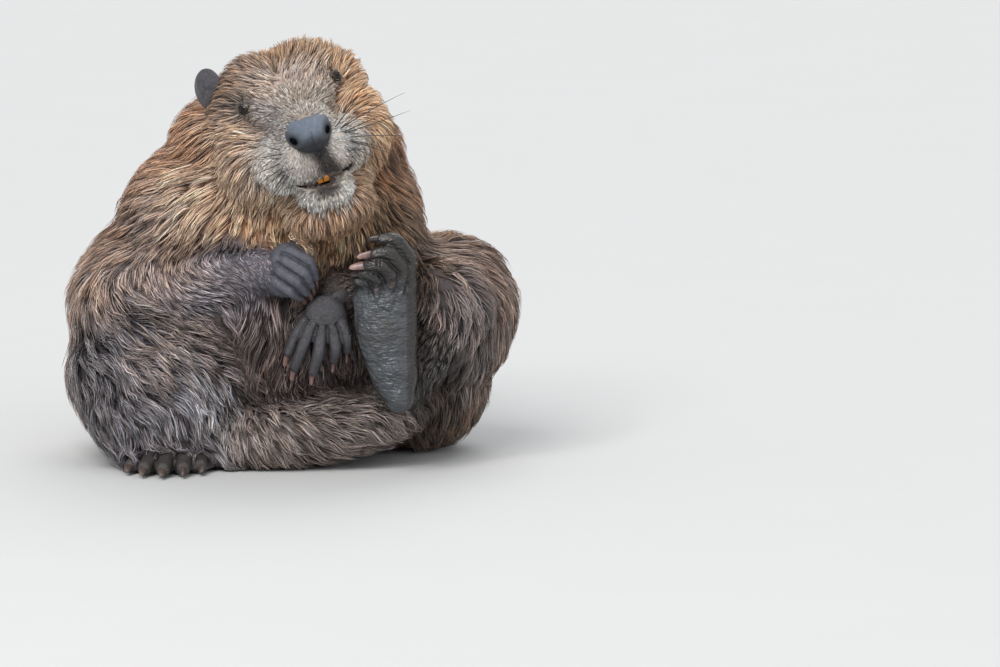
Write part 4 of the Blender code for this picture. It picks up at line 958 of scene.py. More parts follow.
def eyelids(side, columns=64):
    # a thick cap over the eyeball with an almond opening: the profile runs up the inside from the cap's
    # rim, so many degrees off the eye's axis, to the opening's edge, round it, and back down the outside
    axis = eyeAxes[side]
    up = headTurn @ np.array((0, 0, 1.0))
    up = unit(up - axis * (axis @ up))
    across = np.cross(up, axis)
    a = around(columns)
    x = lids["halfWidth"] * np.cos(a)
    droop = np.where(np.sin(a) > 0, lids["droop"], 1.0)
    y = lids["halfHeight"] * np.sin(a) * (1 - 0.3 * np.cos(a) ** 2) * droop
    edge = np.arcsin(np.hypot(x, y) / eyeRadius)
    heading = np.arctan2(y, x)
    thick = lids["thickness"]
    inner, outer = eyeRadius + 0.0001, eyeRadius + thick
    rings = []
    profile = [
        (1, inner), (0.5, inner), (0.12, inner), (0, inner + 0.0002), (-0.035, (inner + outer) / 2),
        (0.03, outer - 0.0001), (0.15, outer + 0.0002), (0.45, outer + 0.0001), (0.75, outer),
        (1, outer - 0.0008),
    ]
    sideways = np.cos(heading)[:, None] * across + np.sin(heading)[:, None] * up
    for share, radius in profile:
        angle = edge + share * (math.radians(lids["cap"]) - edge)
        ring = np.cos(angle)[:, None] * axis + np.sin(angle)[:, None] * sideways
        rings.append(eyeCentres[side] + radius * ring)
    rings = np.array(rings)
    n, m = rings.shape[:2]
    i, j = np.arange(n)[:, None], np.arange(m)[None, :]
    ni, nj = (i + 1) % n, (j + 1) % m
    quads = np.stack([i * m + j, i * m + nj, ni * m + nj, ni * m + j], -1).reshape(-1, 4)
    verts, tris, quads = outward(rings.reshape(-1, 3), np.empty((0, 3), int), quads)
    return verts, halved(tris, quads)


skinVerts, skinTris = makeSkin()
for side in (-1, 1):
    lidVerts, lidTris = eyelids(side)
    skinTris = np.vstack([skinTris, lidTris + len(skinVerts)])
    skinVerts = np.vstack([skinVerts, lidVerts])
skinNormals = vertexNormals(skinVerts, skinTris)
skinTree = BVHTree.FromPolygons(skinVerts.tolist(), skinTris.tolist(), all_triangles=True)
print("skin tree ready")


def ontoSkin(points):
    # the nearest place on the skin, and the smooth normal there
    hits = [skinTree.find_nearest(p)[0:3:2] for p in points.tolist()]
    places = np.array([h[0] for h in hits])
    faces = np.array([h[1] for h in hits])
    return places, unit(skinNormals[skinTris[faces]].sum(1))


def fromEyeAxis(points):
    # distance from the nearer eye's line of sight, counted only in front of the eyeball's middle
    best = np.full(len(points), 1.0)
    for side in (-1, 1):
        away = points - eyeCentres[side]
        ahead = away @ eyeAxes[side]
        off = np.linalg.norm(away - ahead[:, None] * eyeAxes[side], axis=1)
        near = (ahead > 0) & (np.linalg.norm(away, axis=1) < 0.012)
        best = np.where(near, np.minimum(best, off), best)
    return best


def bareShare(points):
    # 1 where no coat grows: paws, nose pad, eyes, inside the mouth and the tail's blade
    h = toHead(points)
    bare = 1 - ease(pawDistance(points), 0.0002, 0.0026)
    bare = np.maximum(bare, ease(points[:, 1] - bodyShift[1], 0.196, 0.201))
    bare = np.maximum(bare, 1 - ease(outOfOval(h, "bare"), 0.92, 1.05))
    bare = np.maximum(bare, 1 - ease(fromEyeAxis(points), 0.0044, 0.005))
    lips = (np.abs(h[:, 2] - mouthHeight(h[:, 0])) < 0.0017) & (np.abs(h[:, 0]) < 0.022) & (h[:, 1] < -0.03)
    return np.maximum(bare, lips * 1.0)


# Tufts

coatSettings = {
    # cell: spacing of the tufts; locks in each; rings along a lock; half its width; how far the locks
    # draw together; how high they rise; how far they sway; and how flat each is
    "fine": {
        "cell": 0.0026, "locks": 4, "rings": 2, "width": 0.00038, "gather": 0.3,
        "lift": 0.75, "wave": 0.0001, "flat": 0.6,
    },
    "middle": {
        "cell": 0.0046, "locks": 6, "rings": 3, "width": 0.0004, "gather": 0.5,
        "lift": 0.8, "wave": 0.0008, "flat": 0.5,
    },
    "long": {
        "cell": 0.0083, "locks": 11, "rings": 3, "width": 0.00056, "gather": 0.55,
        "lift": 0.78, "wave": 0.0036, "flat": 0.45,
    },
}
tufts = {
    "rise": (0, 0.5, 0.8, 0.96, 1.0),  # the share of its height that a tuft has reached at even steps along it
    "turn": 0.13,  # how far a tuft may turn from the coat's lie
    "spread": 0.66,  # how far from the tuft's root its locks start, in cells
    "stray": (0.17, 0.09),  # how far tips stray, in cells, and how much less where damp
    "drift": (4.5, 0.034),  # how much the sway's phase drifts over the body, and over what distance
    "spokes": (0.5, 2.594, 4.689),  # where a lock's three sides meet
    "swell": ((0, 0.35, 0.75, 1.0), (0.75, 1.0, 0.66, 0.2)),  # places along a lock, and its thickness there
    "middle": 0.45,  # where along a lock its middle tone lies
    "grey": (0.4, 0.55),  # the share of greyer locks, and how grey they are
    "warm": (0.06, -0.02, -0.08),  # the warm and cool variation
    "light": (0.58, 0.66),  # painted shade in the coat: how light the deepest locks are, and how much lighter the top ones
    "fold": 0.68,  # how dark the painted shade in the folds is
}
random = np.random.default_rng(11)


def scatter(cell, allow):
    # one place on the skin in each cell of a cubic lattice, among places spread evenly by area
    a, b, c = skinVerts[skinTris.T]
    area = np.linalg.norm(np.cross(b - a, c - a), axis=1) / 2
    count = int(area.sum() / cell**2 * 9)
    pick = random.choice(len(area), count, p=area / area.sum())
    u, v = random.random((2, count))
    flip = u + v > 1
    u, v = np.where(flip, 1 - u, u), np.where(flip, 1 - v, v)
    w = 1 - u - v
    a, b, c = skinTris[pick].T
    mix = lambda t: t[a] * w[:, None] + t[b] * u[:, None] + t[c] * v[:, None]
    places = mix(skinVerts)
    key = np.floor(places / cell).astype(np.int64)
    _, first = np.unique(key @ np.array([1, 4096, 4096**2]), return_index=True)
    places, normals = places[first], unit(mix(skinNormals)[first])
    good = allow(places)
    return places[good], normals[good]


def growTufts(kind, roots, normals):
    # each tuft follows the skin for its length and rises to the coat's depth; its locks start spread
    # round the root and draw together towards the tip, and each is a three-sided taper
    plan = coatSettings[kind]
    n, k, rings = len(roots), plan["locks"], plan["rings"]
    shares = coatShares(roots)
    length, depth, damp = (shares @ regionFacts).T
    place, up = roots, normals
    way = lieOfCoat(place, up)
    # a tuft that lies over towards shorter coat is shorter itself
    ahead = coatShares(roots + way * (0.7 * length)[:, None]) @ regionFacts[:, 0]
    length = length * np.clip(0.3 + 0.7 * ahead / length, 0.4, 1.0)
    length = length * (0.8 + 0.4 * random.random(n))
    height = depth * plan["lift"] * (0.7 + 0.5 * random.random(n))
    steps = len(tufts["rise"]) - 1
    path = np.empty((n, steps + 1, 3))
    ups = np.empty_like(path)
    path[:, 0], ups[:, 0] = roots, normals
    turn = (random.normal(0, tufts["turn"], n) * (1 - 0.6 * damp))[:, None]
    way = unit(way + turn * np.cross(up, way))
    for s in range(1, steps + 1):
        place, up = ontoSkin(place + way * (length / steps)[:, None])
        path[:, s] = place + up * (height * tufts["rise"][s])[:, None]
        ups[:, s] = up
        way = laid(unit(0.55 * way + 0.45 * lieOfCoat(place, up)), up)
    # each lock: its own start in the tuft, its own length and layer, and a sway it shares with the rest
    angle = random.random((n, k)) * 2 * math.pi
    radius = np.sqrt(random.random((n, k))) * plan["cell"] * tufts["spread"]
    across, along = radius * np.cos(angle), radius * np.sin(angle)
    ends = 0.7 + 0.34 * random.random((n, k))
    t = np.linspace(0, 1, rings + 1) ** 0.92
    at = np.clip(t * ends[..., None], 0, 1) * steps
    low = np.minimum(at.astype(int), steps - 1)
    f = (at - low)[..., None]
    row = np.arange(n)[:, None, None]
    centre = path[row, low] * (1 - f) + path[row, low + 1] * f
    up = unit(ups[row, low] * (1 - f) + ups[row, low + 1] * f)
    run = unit(path[row, low + 1] - path[row, low])
    side = unit(np.cross(up, run))
    gather = 1 - (plan["gather"] + 0.22 * damp)[:, None, None] * t**1.2
    # sway = wave * sin(phase + place along), its phase drifting slowly over the body
    amount, distance = tufts["drift"]
    phase = (amount * softNoise(roots, distance) + random.normal(0, 0.35, n))[:, None, None]
    size = (plan["wave"] * np.clip(length / np.median(length), 0.4, 1.4) * (0.2 + 0.9 * damp))[:, None, None]
    sway = np.sin(phase + at + random.normal(0, 0.25, (n, k))[..., None]) - np.sin(phase)
    sway = size * sway * ease(t, 0, 0.5)
    most, less = tufts["stray"]
    stray = random.normal(0, 1, (n, k, 1)) * plan["cell"] * (most - less * damp)[:, None, None] * t**2
    centre = centre + side * (across[..., None] * gather + sway + stray)[..., None]
    centre = centre + run * (along[..., None] * gather)[..., None]
    layer = random.random((n, k))
    lower = (layer - 0.6)[..., None] * 0.55 * depth[:, None, None] * ease(t, 0, 0.4)
    centre = centre + up * (lower - 0.001 * (1 - t) ** 2)[..., None]
    centre[..., 2] = np.maximum(centre[..., 2], 0.0012)
    tangent = unit(np.gradient(centre, axis=2))
    side = unit(np.cross(up, tangent))
    up = np.cross(tangent, side)
    width = plan["width"] * (0.6 + 0.8 * random.random((n, k)))
    width = width * np.clip(length / np.median(length), 0.75, 1.2)[:, None]
    swell = np.interp(t[:-1], *tufts["swell"])
    spoke = np.array(tufts["spokes"])
    out = np.cos(spoke)[:, None] * side[..., :rings, None, :]
    out = out + plan["flat"] * np.sin(spoke)[:, None] * up[..., :rings, None, :]
    tubes = centre[..., :rings, None, :] + (width[..., None] * swell)[..., None, None] * out
    tips = centre[..., rings, :].reshape(n * k, 1, 3)
    verts = np.concatenate([tubes.reshape(n * k, rings * 3, 3), tips], 1)
    # colour along the lock from the region's root, middle and tip tones; deeper layers greyer, and darker as
    # painted shade
    tones = np.einsum("nr,rtc->ntc", shares, regionColours)[:, None]
    s = t[None, None, :, None]
    half = tufts["middle"]
    early, late = np.clip(s / half, 0, 1), np.clip((s - half) / half, 0, 1)
    colours = tones[:, :, 0:1] * (1 - early) + tones[:, :, 1:2] * early * (1 - late) + tones[:, :, 2:3] * late
    grey = colours.mean(-1, keepdims=True) * np.array([1.02, 0.99, 0.99])
    greyer, amount = tufts["grey"]
    cool = (amount * (random.random((n, k)) < greyer) * (1.1 - layer))[..., None, None]
    colours = colours * (1 - cool) + grey * cool
    warm = (0.9 * softNoise(roots, 0.02)[:, None] + random.normal(0, 0.6, (n, k)))[..., None, None]
    colours = colours * np.exp(warm * np.array(tufts["warm"]))
    differing = random.normal(0, 1, (n, 1)) * (0.15 + 0.11 * damp)[:, None]
    differing = differing + random.normal(0, 1, (n, k)) * (0.25 + 0.07 * damp)[:, None]
    shine = np.exp(0.13 * softNoise(roots, 0.022)[:, None] + differing)
    deepest, lighter = tufts["light"]
    colours = colours * (shine * (deepest + lighter * layer))[..., None, None]
    # painted shadow along the folds between the body's forms
    shadow = foldShare((roots + path[:, 2]) / 2) * (1 - faceShare(roots))
    colours = colours * (1 - tufts["fold"] * shadow)[:, None, None, None]
    index = np.concatenate([np.repeat(np.arange(rings), 3), [rings]])
    colours = colours[:, :, index].reshape(n * k, rings * 3 + 1, 3)
    return {
        "verts": verts, "colours": np.clip(colours * (1 - 0.22 * colours), 0, 0.85), "along": t[index],
        "wet": np.repeat(np.clip(damp + random.normal(0, 0.1, n), 0, 1), k),
        "group": np.repeat(groupNumber[np.argmax(shares, 1)], k),
        "root": np.repeat(roots, k, 0), "normal": np.repeat(normals, k, 0),
    }


groupNumber = np.array([list(coatRegions).index(group) for group, _ in regionNames])


def covered(points, shortest, longest):
    # places with coat of these lengths: not bare, and not pressed on the floor
    length = coatShares(points) @ regionFacts[:, 0]
    return (bareShare(points) < 0.5) & (points[:, 2] > 0.0035) & (length >= shortest) & (length < longest)


crops = []
for kind, shortest, longest in (("fine", 0, 0.009), ("middle", 0.009, 0.0262), ("long", 0.0262, 1)):
    roots, normals = scatter(coatSettings[kind]["cell"], lambda p: covered(p, shortest, longest))
    crops.append(growTufts(kind, roots, normals))
    print("tufts", kind, len(roots), "locks", len(crops[-1]["verts"]))


def lockFaces(rings):
    # the faces of one lock: its root closed, bands of quads, and three triangles to the tip
    pairs = ((0, 1), (1, 2), (2, 0))
    quads = [[r + j, r + k, r + 3 + k, r + 3 + j] for r in range(0, rings * 3 - 3, 3) for j, k in pairs]
    top = rings * 3 - 3
    return np.array([[0, 2, 1]] + [[top + j, top + k, rings * 3] for j, k in pairs]), np.array(quads)


def bakeMap(mesh, roots, normals, spread):
    # each tuft's patch, 0.003 across, where its root lies on the skin unfolded into six flat views;
    # spread is each vertex's own place in its patch
    axis = np.argmax(np.abs(normals), 1)
    sign = (np.take_along_axis(normals, axis[:, None], 1)[:, 0] > 0).astype(int)
    low, size = skinVerts.min(0), np.ptp(skinVerts, 0).max()
    other = np.array([[1, 2], [0, 2], [0, 1]])[axis]
    flat = np.take_along_axis((roots - low) / size, other, 1) * 0.9 + 0.05
    tile = np.stack([(axis + flat[:, 0]) / 3, (sign + flat[:, 1]) / 2], 1)
    uv = tile + 0.003 * spread
    loops = np.empty(len(mesh.loops), np.int32)
    mesh.loops.foreach_get("vertex_index", loops)
    layer = mesh.uv_layers.new(name="OFBake")
    layer.data.foreach_set("uv", uv[loops].astype(np.float32).ravel())


def buildCoat(name, picks, material):
    # picks holds, for each crop, the numbers of the locks that belong to this piece
    verts, tris, quads = [], [], []
    columns = {key: [] for key in ("colours", "wet", "along", "root", "normal", "spread")}
    base = 0
    for crop, pick in zip(crops, picks):
        points = crop["verts"][pick]
        n, m = points.shape[:2]
        if not n:
            continue
        faces = lockFaces(m // 3)
        starts = base + np.arange(n)[:, None, None] * m
        tris.append((faces[0] + starts).reshape(-1, 3))
        quads.append((faces[1] + starts).reshape(-1, 4))
        verts.append(points.reshape(-1, 3))
        columns["colours"].append(crop["colours"][pick].reshape(-1, 3))
        columns["along"].append(np.tile(crop["along"], n))
        for key in ("wet", "root", "normal"):
            columns[key].append(np.repeat(crop[key][pick], m, 0))
        across = np.concatenate([np.tile([-0.5, 0, 0.5], m // 3), [0.0]])
        columns["spread"].append(np.tile(np.stack([across, crop["along"] - 0.5], 1), (n, 1)))
        base += n * m
    mesh = meshFrom(name, np.concatenate(verts), [np.concatenate(tris), np.concatenate(quads)])
    columns = {key: np.concatenate(rows) for key, rows in columns.items()}
    paint(mesh, "coatTone", columns["colours"])
    paint(mesh, "coatWet", columns["wet"])
    paint(mesh, "coatAlong", columns["along"])
    bakeMap(mesh, columns["root"], columns["normal"], columns["spread"])
    finishPiece(mesh, material)


# Materials

def newMaterial(name):
    # a material with its own shader
    made = bpy.data.materials.new(name)
    made.use_nodes = True
    tree = made.node_tree
    return made, tree, tree.nodes["Principled BSDF"]


def plug(tree, node, links):
    # fills a node's sockets with numbers or with other nodes' outputs
    for key, value in links.items():
        if isinstance(value, bpy.types.NodeSocket):
            tree.links.new(value, node.inputs[key])
        else:
            node.inputs[key].default_value = value


def addNode(tree, kind, links=None, **settings):
    # a shader node with its settings and its filled sockets
    made = tree.nodes.new("ShaderNode" + kind)
    for key, value in settings.items():
        setattr(made, key, value)
    plug(tree, made, links or {})
    return made


def painted(tree, name, output="Color"):
    # a value painted on the mesh
    return addNode(tree, "Attribute", attribute_name=name).outputs[output]


def maths(tree, operation, *values):
    # one sum, product or other operation on sockets or numbers
    return addNode(tree, "Math", dict(enumerate(values)), operation=operation).outputs[0]


def objectPlace(tree, scale=(1, 1, 1)):
    # the place on the piece, in metres, scaled by axis
    where = addNode(tree, "TexCoord")
    return addNode(tree, "Mapping", {"Vector": where.outputs["Object"], "Scale": scale}).outputs["Vector"]


def grain(tree, scale, detail=3.0, rough=0.55, scaling=(1, 1, 1)):
    # even noise between 0 and 1
    links = {"Vector": objectPlace(tree, scaling), "Scale": scale, "Detail": detail, "Roughness": rough}
    return addNode(tree, "TexNoise", links).outputs["Fac"]


def cells(tree, scale, feature, scaling=(1, 1, 1)):
    # distances in a pattern of irregular cells
    links = {"Vector": objectPlace(tree, scaling), "Scale": scale}
    return addNode(tree, "TexVoronoi", links, feature=feature).outputs["Distance"]


def stretch(tree, value, low, high, toLow, toHigh):
    # low to high becomes toLow to toHigh, clipped at both ends
    links = {"Value": value, "From Min": low, "From Max": high, "To Min": toLow, "To Max": toHigh}
    return addNode(tree, "MapRange", links).outputs["Result"]


def uneven(tree, noise, least, most):
    # noise as a factor that runs from least to most
    return stretch(tree, noise, 0.3, 0.7, least, most)


def shade(tree, colour, factor):
    # colour times a number
    return addNode(tree, "VectorMath", {0: colour, "Scale": factor}, operation="SCALE").outputs["Vector"]


def mixColour(tree, factor, a, b):
    # a * (1 - factor) + b * factor
    a, b = ((*c, 1) if isinstance(c, tuple) else c for c in (a, b))
    return addNode(tree, "Mix", {"Factor": factor, 6: a, 7: b}, data_type="RGBA").outputs[2]


def bumpBy(tree, shader, height, distance, strength=1.0):
    # small relief of the given height in metres
    bump = addNode(tree, "Bump", {"Height": height, "Distance": distance, "Strength": strength})
    plug(tree, shader, {"Normal": bump.outputs["Normal"]})


def furMaterial(name, dry, soaked):
    # colour from the tones painted on each lock, with their painted shade and sheen, streaked finely; damp locks
    # are glossier
    made, tree, shader = newMaterial(name)
    streak = uneven(tree, grain(tree, 1500.0, 2.0), 0.84, 1.16)
    plug(tree, shader, {
        "Base Color": shade(tree, painted(tree, "coatTone"), streak),
        "Roughness": stretch(tree, painted(tree, "coatWet", "Fac"), 0.0, 1.0, dry, soaked),
        "Specular IOR Level": 0.75,
    })
    bumpBy(tree, shader, grain(tree, 2200.0, 2.0), 0.0002, 0.5)
    return made


def skinMaterial():
    # under the coat, short soft fur; on bare parts, finely wrinkled skin, and deep creases in the sole
    made, tree, shader = newMaterial("beaverSkin")
    bare = painted(tree, "skinBare", "Fac")
    blotch = uneven(tree, grain(tree, 160.0, 4.0), 0.8, 1.18)
    speckle = uneven(tree, grain(tree, 900.0), 0.86, 1.14)
    gloss = uneven(tree, grain(tree, 220.0), 0.22, 0.42)
    dull = maths(tree, "SUBTRACT", 1.0, bare)
    plug(tree, shader, {
        "Base Color": shade(tree, painted(tree, "skinTone"), maths(tree, "MULTIPLY", blotch, speckle)),
        "Roughness": maths(tree, "MULTIPLY_ADD", dull, 0.5, gloss),
    })
    pebble = maths(tree, "MULTIPLY", cells(tree, 1500.0, "SMOOTH_F1"), -0.35)
    crease = stretch(tree, cells(tree, 900.0, "DISTANCE_TO_EDGE", (1.0, 1.0, 1.5)), 0.0, 0.25, 0.0, 0.35)
    wrinkle = grain(tree, 420.0, 4.0, 0.6, (1.0, 1.0, 2.0))
    fine = maths(tree, "MULTIPLY_ADD", wrinkle, 1.6, maths(tree, "ADD", pebble, crease))
    plates = cells(tree, 400.0, "SMOOTH_F1", (0.9, 1.0, 1.3))
    folded = maths(tree, "MULTIPLY", grain(tree, 130.0, 4.0, 0.6, (0.5, 1.0, 1.6)), 5.0)
    deep = maths(tree, "MULTIPLY_ADD", plates, -2.2, folded)
    links = {0: painted(tree, "skinSole", "Fac"), 2: maths(tree, "MULTIPLY", fine, bare), 3: deep}
    bumpBy(tree, shader, addNode(tree, "Mix", links, data_type="FLOAT").outputs[0], 0.0006, 0.8)
    return made


def noseMaterial():
    # blue-grey leather: small close bumps with painted shade in the lines between them, and a moist shine that
    # the nostrils' painted shade lacks
    made, tree, shader = newMaterial("noseLeather")
    tone = painted(tree, "noseTone")
    cell = cells(tree, 950.0, "DISTANCE_TO_EDGE")
    lines = stretch(tree, cell, 0.0, 0.2, 0.72, 1.06)
    patch = uneven(tree, grain(tree, 220.0), 0.84, 1.14)
    plug(tree, shader, {
        "Base Color": shade(tree, tone, maths(tree, "MULTIPLY", lines, patch)),
        "Roughness": 0.38,
        "Specular IOR Level": stretch(tree, tone, 0.004, 0.02, 0.0, 0.5),
    })
    bumpBy(tree, shader, stretch(tree, cell, 0.0, 0.22, 0.0, 1.0), 0.0004)
    return made


def hornMaterial():
    # claws streaked along their length
    made, tree, shader = newMaterial("clawHorn")
    streak = grain(tree, 420.0, 4.0, 0.6, (1.0, 1.0, 0.35))
    tone = shade(tree, painted(tree, "hornTone"), uneven(tree, streak, 0.78, 1.2))
    plug(tree, shader, {"Base Color": tone, "Roughness": 0.34})
    bumpBy(tree, shader, streak, 0.00025, 0.6)
    return made


def eyeMaterial():
    # a brown so dark that it looks black, with a faintly lighter ring, under a clear wet coat
    made, tree, shader = newMaterial("eyeDark")
    fibre = stretch(tree, grain(tree, 700.0), 0.35, 0.65, 0.0, 1.0)
    iris = mixColour(tree, fibre, (0.012, 0.007, 0.004), (0.03, 0.016, 0.009))
    plug(tree, shader, {
        "Base Color": mixColour(tree, painted(tree, "eyeRing", "Fac"), (0.003, 0.0025, 0.0025), iris),
        "Roughness": 0.12, "Specular IOR Level": 0.0, "Coat Weight": 0.55, "Coat Roughness": 0.02,
    })
    return made


def enamelMaterial():
    # orange enamel streaked down the tooth
    made, tree, shader = newMaterial("incisorEnamel")
    streak = grain(tree, 300.0, 3.0, 0.6, (3.0, 3.0, 0.5))
    tone = mixColour(tree, streak, (0.5, 0.15, 0.012), (0.66, 0.27, 0.04))
    plug(tree, shader, {"Base Color": tone, "Roughness": 0.25})
    bumpBy(tree, shader, streak, 0.0002, 0.4)
    return made


def whiskerMaterial():
    # nearly black hair
    made, tree, shader = newMaterial("whiskerHair")
    tone = mixColour(tree, grain(tree, 60.0), (0.006, 0.005, 0.005), (0.035, 0.028, 0.024))
    plug(tree, shader, {"Base Color": tone, "Roughness": 0.35})
    return made


def scaleMaterial():
    # dull grey-brown horn, each scale in its own tone with painted shade at its rim and a painted highlight at its
    # peak
    made, tree, shader = newMaterial("tailScale")
    tone = shade(tree, painted(tree, "scaleTone"), uneven(tree, grain(tree, 500.0, 4.0), 0.75, 1.2))
    plug(tree, shader, {"Base Color": tone, "Roughness": uneven(tree, grain(tree, 90.0), 0.4, 0.58)})
    bumpBy(tree, shader, grain(tree, 900.0), 0.0003, 0.6)
    return made


furs = {"body_fur": furMaterial("bodyCoat", 0.6, 0.24), "face_fur": furMaterial("faceCoat", 0.64, 0.36)}
mostTriangles = 185000
coatTotal = 0
for number, group in enumerate(coatRegions):
    # a group of regions is one piece, or several in strips across the body where it has too many triangles
    mine = [np.flatnonzero(crop["group"] == number) for crop in crops]
    x = np.concatenate([crop["root"][pick][:, 0] for crop, pick in zip(crops, mine)])
    cost = [np.full(len(pick), 6 * (crop["verts"].shape[1] // 3) - 2) for crop, pick in zip(crops, mine)]
    cost = np.concatenate(cost)
    parts = max(1, math.ceil(cost.sum() / mostTriangles))
    order = np.argsort(x, kind="stable")
    part = np.empty(len(x), int)
    part[order] = np.minimum((np.cumsum(cost[order]) - 1) * parts // cost.sum(), parts - 1)
    bounds = np.cumsum([0] + [len(pick) for pick in mine])
    slot = "face_fur" if group in ("face", "crown") else "body_fur"
    for p in range(parts):
        name = "coat" + group[0].upper() + group[1:] + ("" if parts == 1 else "ABCDEFGH"[p])
        picks = [pick[part[a:b] == p] for pick, a, b in zip(mine, bounds[:-1], bounds[1:])]
        buildCoat(name, picks, furs[slot])
        print(name, cost[part == p].sum())
    coatTotal += cost.sum()
print("coat triangles", coatTotal)

# The skin as shown, with lids and ears

bareTones = {
    "hand": (53, 51, 55), "fist": (74, 75, 84), "footBack": (40, 36, 34), "sole": (58, 61, 65),
    "flatFoot": (58, 54, 52), "tail": (62, 58, 56), "mouth": (34, 27, 26), "behindPad": (30, 28, 29),
    "eyelid": (26, 22, 21), "earRight": (62, 59, 64), "earLeft": (84, 70, 60),
}


def skinTones(points, normals):
    # the coat's markings, darkened with painted shade, and the greys of bare skin with painted shade in their
    # creases and hollows
    shares = coatShares(points)
    # painted shade in the gaps: the damper the coat, the more of its dark root tone shows under it
    rootShare = 0.55 + 0.4 * regionFacts[:, 2:]
    underTones = rootShare * regionColours[:, 0] + (1 - rootShare) * regionColours[:, 1]
    under = np.einsum("nr,rc->nc", shares, underTones)
    # painted shadow along the folds
    under = under * (1 - 0.6 * foldShare(points) * (1 - faceShare(points)))[:, None]
    bare = bareShare(points)
    d = points - bodyShift
    grey = np.tile(linear(bareTones["hand"]), (len(points), 1))
    between = pawForm(points)[1]
    foot = onPaw(points, "foot_left")
    solePale = ease(-normals[:, 1], 0.3, 0.8) * (1 - ease(d[:, 2], 0.15, 0.172))
    solePale = (solePale * (1 - ease(d[:, 0], 0.095, 0.0985)))[:, None]
    sole = linear(bareTones["footBack"]) * (1 - solePale) + linear(bareTones["sole"]) * solePale
    grey[foot] = sole[foot]
    grey[onPaw(points, "hand_right")] = linear(bareTones["fist"])
    # painted shade in the creases between the digits
    grey = grey * (1 - 0.6 * np.exp(-((between / 0.0018) ** 2)))[:, None]
    grey[onPaw(points, "foot_right")] = linear(bareTones["flatFoot"])
    grey[d[:, 1] > 0.198] = linear(bareTones["tail"])
    h = toHead(points)
    mouth = (np.abs(h[:, 2] - mouthHeight(h[:, 0])) < 0.005) & (np.abs(h[:, 0]) < 0.026) & (h[:, 1] < -0.026)
    grey[mouth] = linear(bareTones["mouth"])
    # painted shade: the hollow behind the nose pad is nearly black
    grey[outOfOval(h, "dark") < 1] = linear(bareTones["behindPad"])
    grey[fromEyeAxis(points) < 0.007] = linear(bareTones["eyelid"])
    grey = grey * np.exp(0.16 * softNoise(points, 0.008))[:, None]
    under = under * (1 - 0.6 * np.exp(-((fromEyeAxis(points) / 0.0065) ** 2)))[:, None]
    return under * (1 - bare[:, None]) + grey * bare[:, None], bare


shown = [(skinVerts, skinTris, np.empty((0, 4), int))]
shown += [earShell(side) for side in (-1, 1)]
allVerts, allTris, allQuads = together(shown)
skinMesh = meshFrom("skin", allVerts, [allTris, allQuads])
split = halved(allTris, allQuads)
allNormals = vertexNormals(allVerts, split)
tones, bare = skinTones(allVerts, allNormals)
earPlace = allVerts[len(skinVerts):]
earTones = np.where(toHead(earPlace)[:, :1] < 0, linear(bareTones["earRight"]), linear(bareTones["earLeft"]))
tones[len(skinVerts):] = earTones * np.exp(0.2 * softNoise(earPlace, 0.005))[:, None]
bare[len(skinVerts):] = 1.0
paint(skinMesh, "skinTone", tones)
paint(skinMesh, "skinBare", bare)
paint(skinMesh, "skinSole", onPaw(allVerts, "foot_left") * ease(-allNormals[:, 1], 0.2, 0.6))
fleshNodes = ["head", "lower_jaw", "neck", "trunk", "tail_root", "tail_blade"]
for part in ("upper_arm", "forearm", "hand", "thigh", "shank", "foot", "ear"):
    fleshNodes += [part + "_right", part + "_left"]
finishPiece(skinMesh, skinMaterial(), fleshNodes)
print("skin", len(split), "triangles")

# Nose pad

nosePad = {
    "width": 0.0385, "height": 0.0345, "bulge": 0.0118, "square": 2.6,
    "place": (0, -0.055, -0.0295), "tilt": -12, "tone": (104, 114, 128),
    "bow": 12.0, "lean": 0.0034, "dish": 0.0024, "groove": 0.0014,
}
nostrils = {
    "across": 0.0146, "height": -0.0026, "halfWidth": 0.0036, "halfHeight": 0.0066,
    "lean": 24, "depth": 0.005, "rim": 0.002,
}


def nostrilShare(x, z, grow=1.0):
    # exp(-(u/a)^2 - (w/b)^2) in the leaning ovals' own axes, the larger of the two sides
    best = 0
    for side in (-1, 1):
        a = math.radians(nostrils["lean"]) * side
        dx, dz = x - side * nostrils["across"], z - nostrils["height"]
        u, w = dx * math.cos(a) - dz * math.sin(a), dx * math.sin(a) + dz * math.cos(a)
        u, w = u / nostrils["halfWidth"] / grow, w / nostrils["halfHeight"] / grow
        best = np.maximum(best, np.exp(-(u**2) - w**2))
    return best


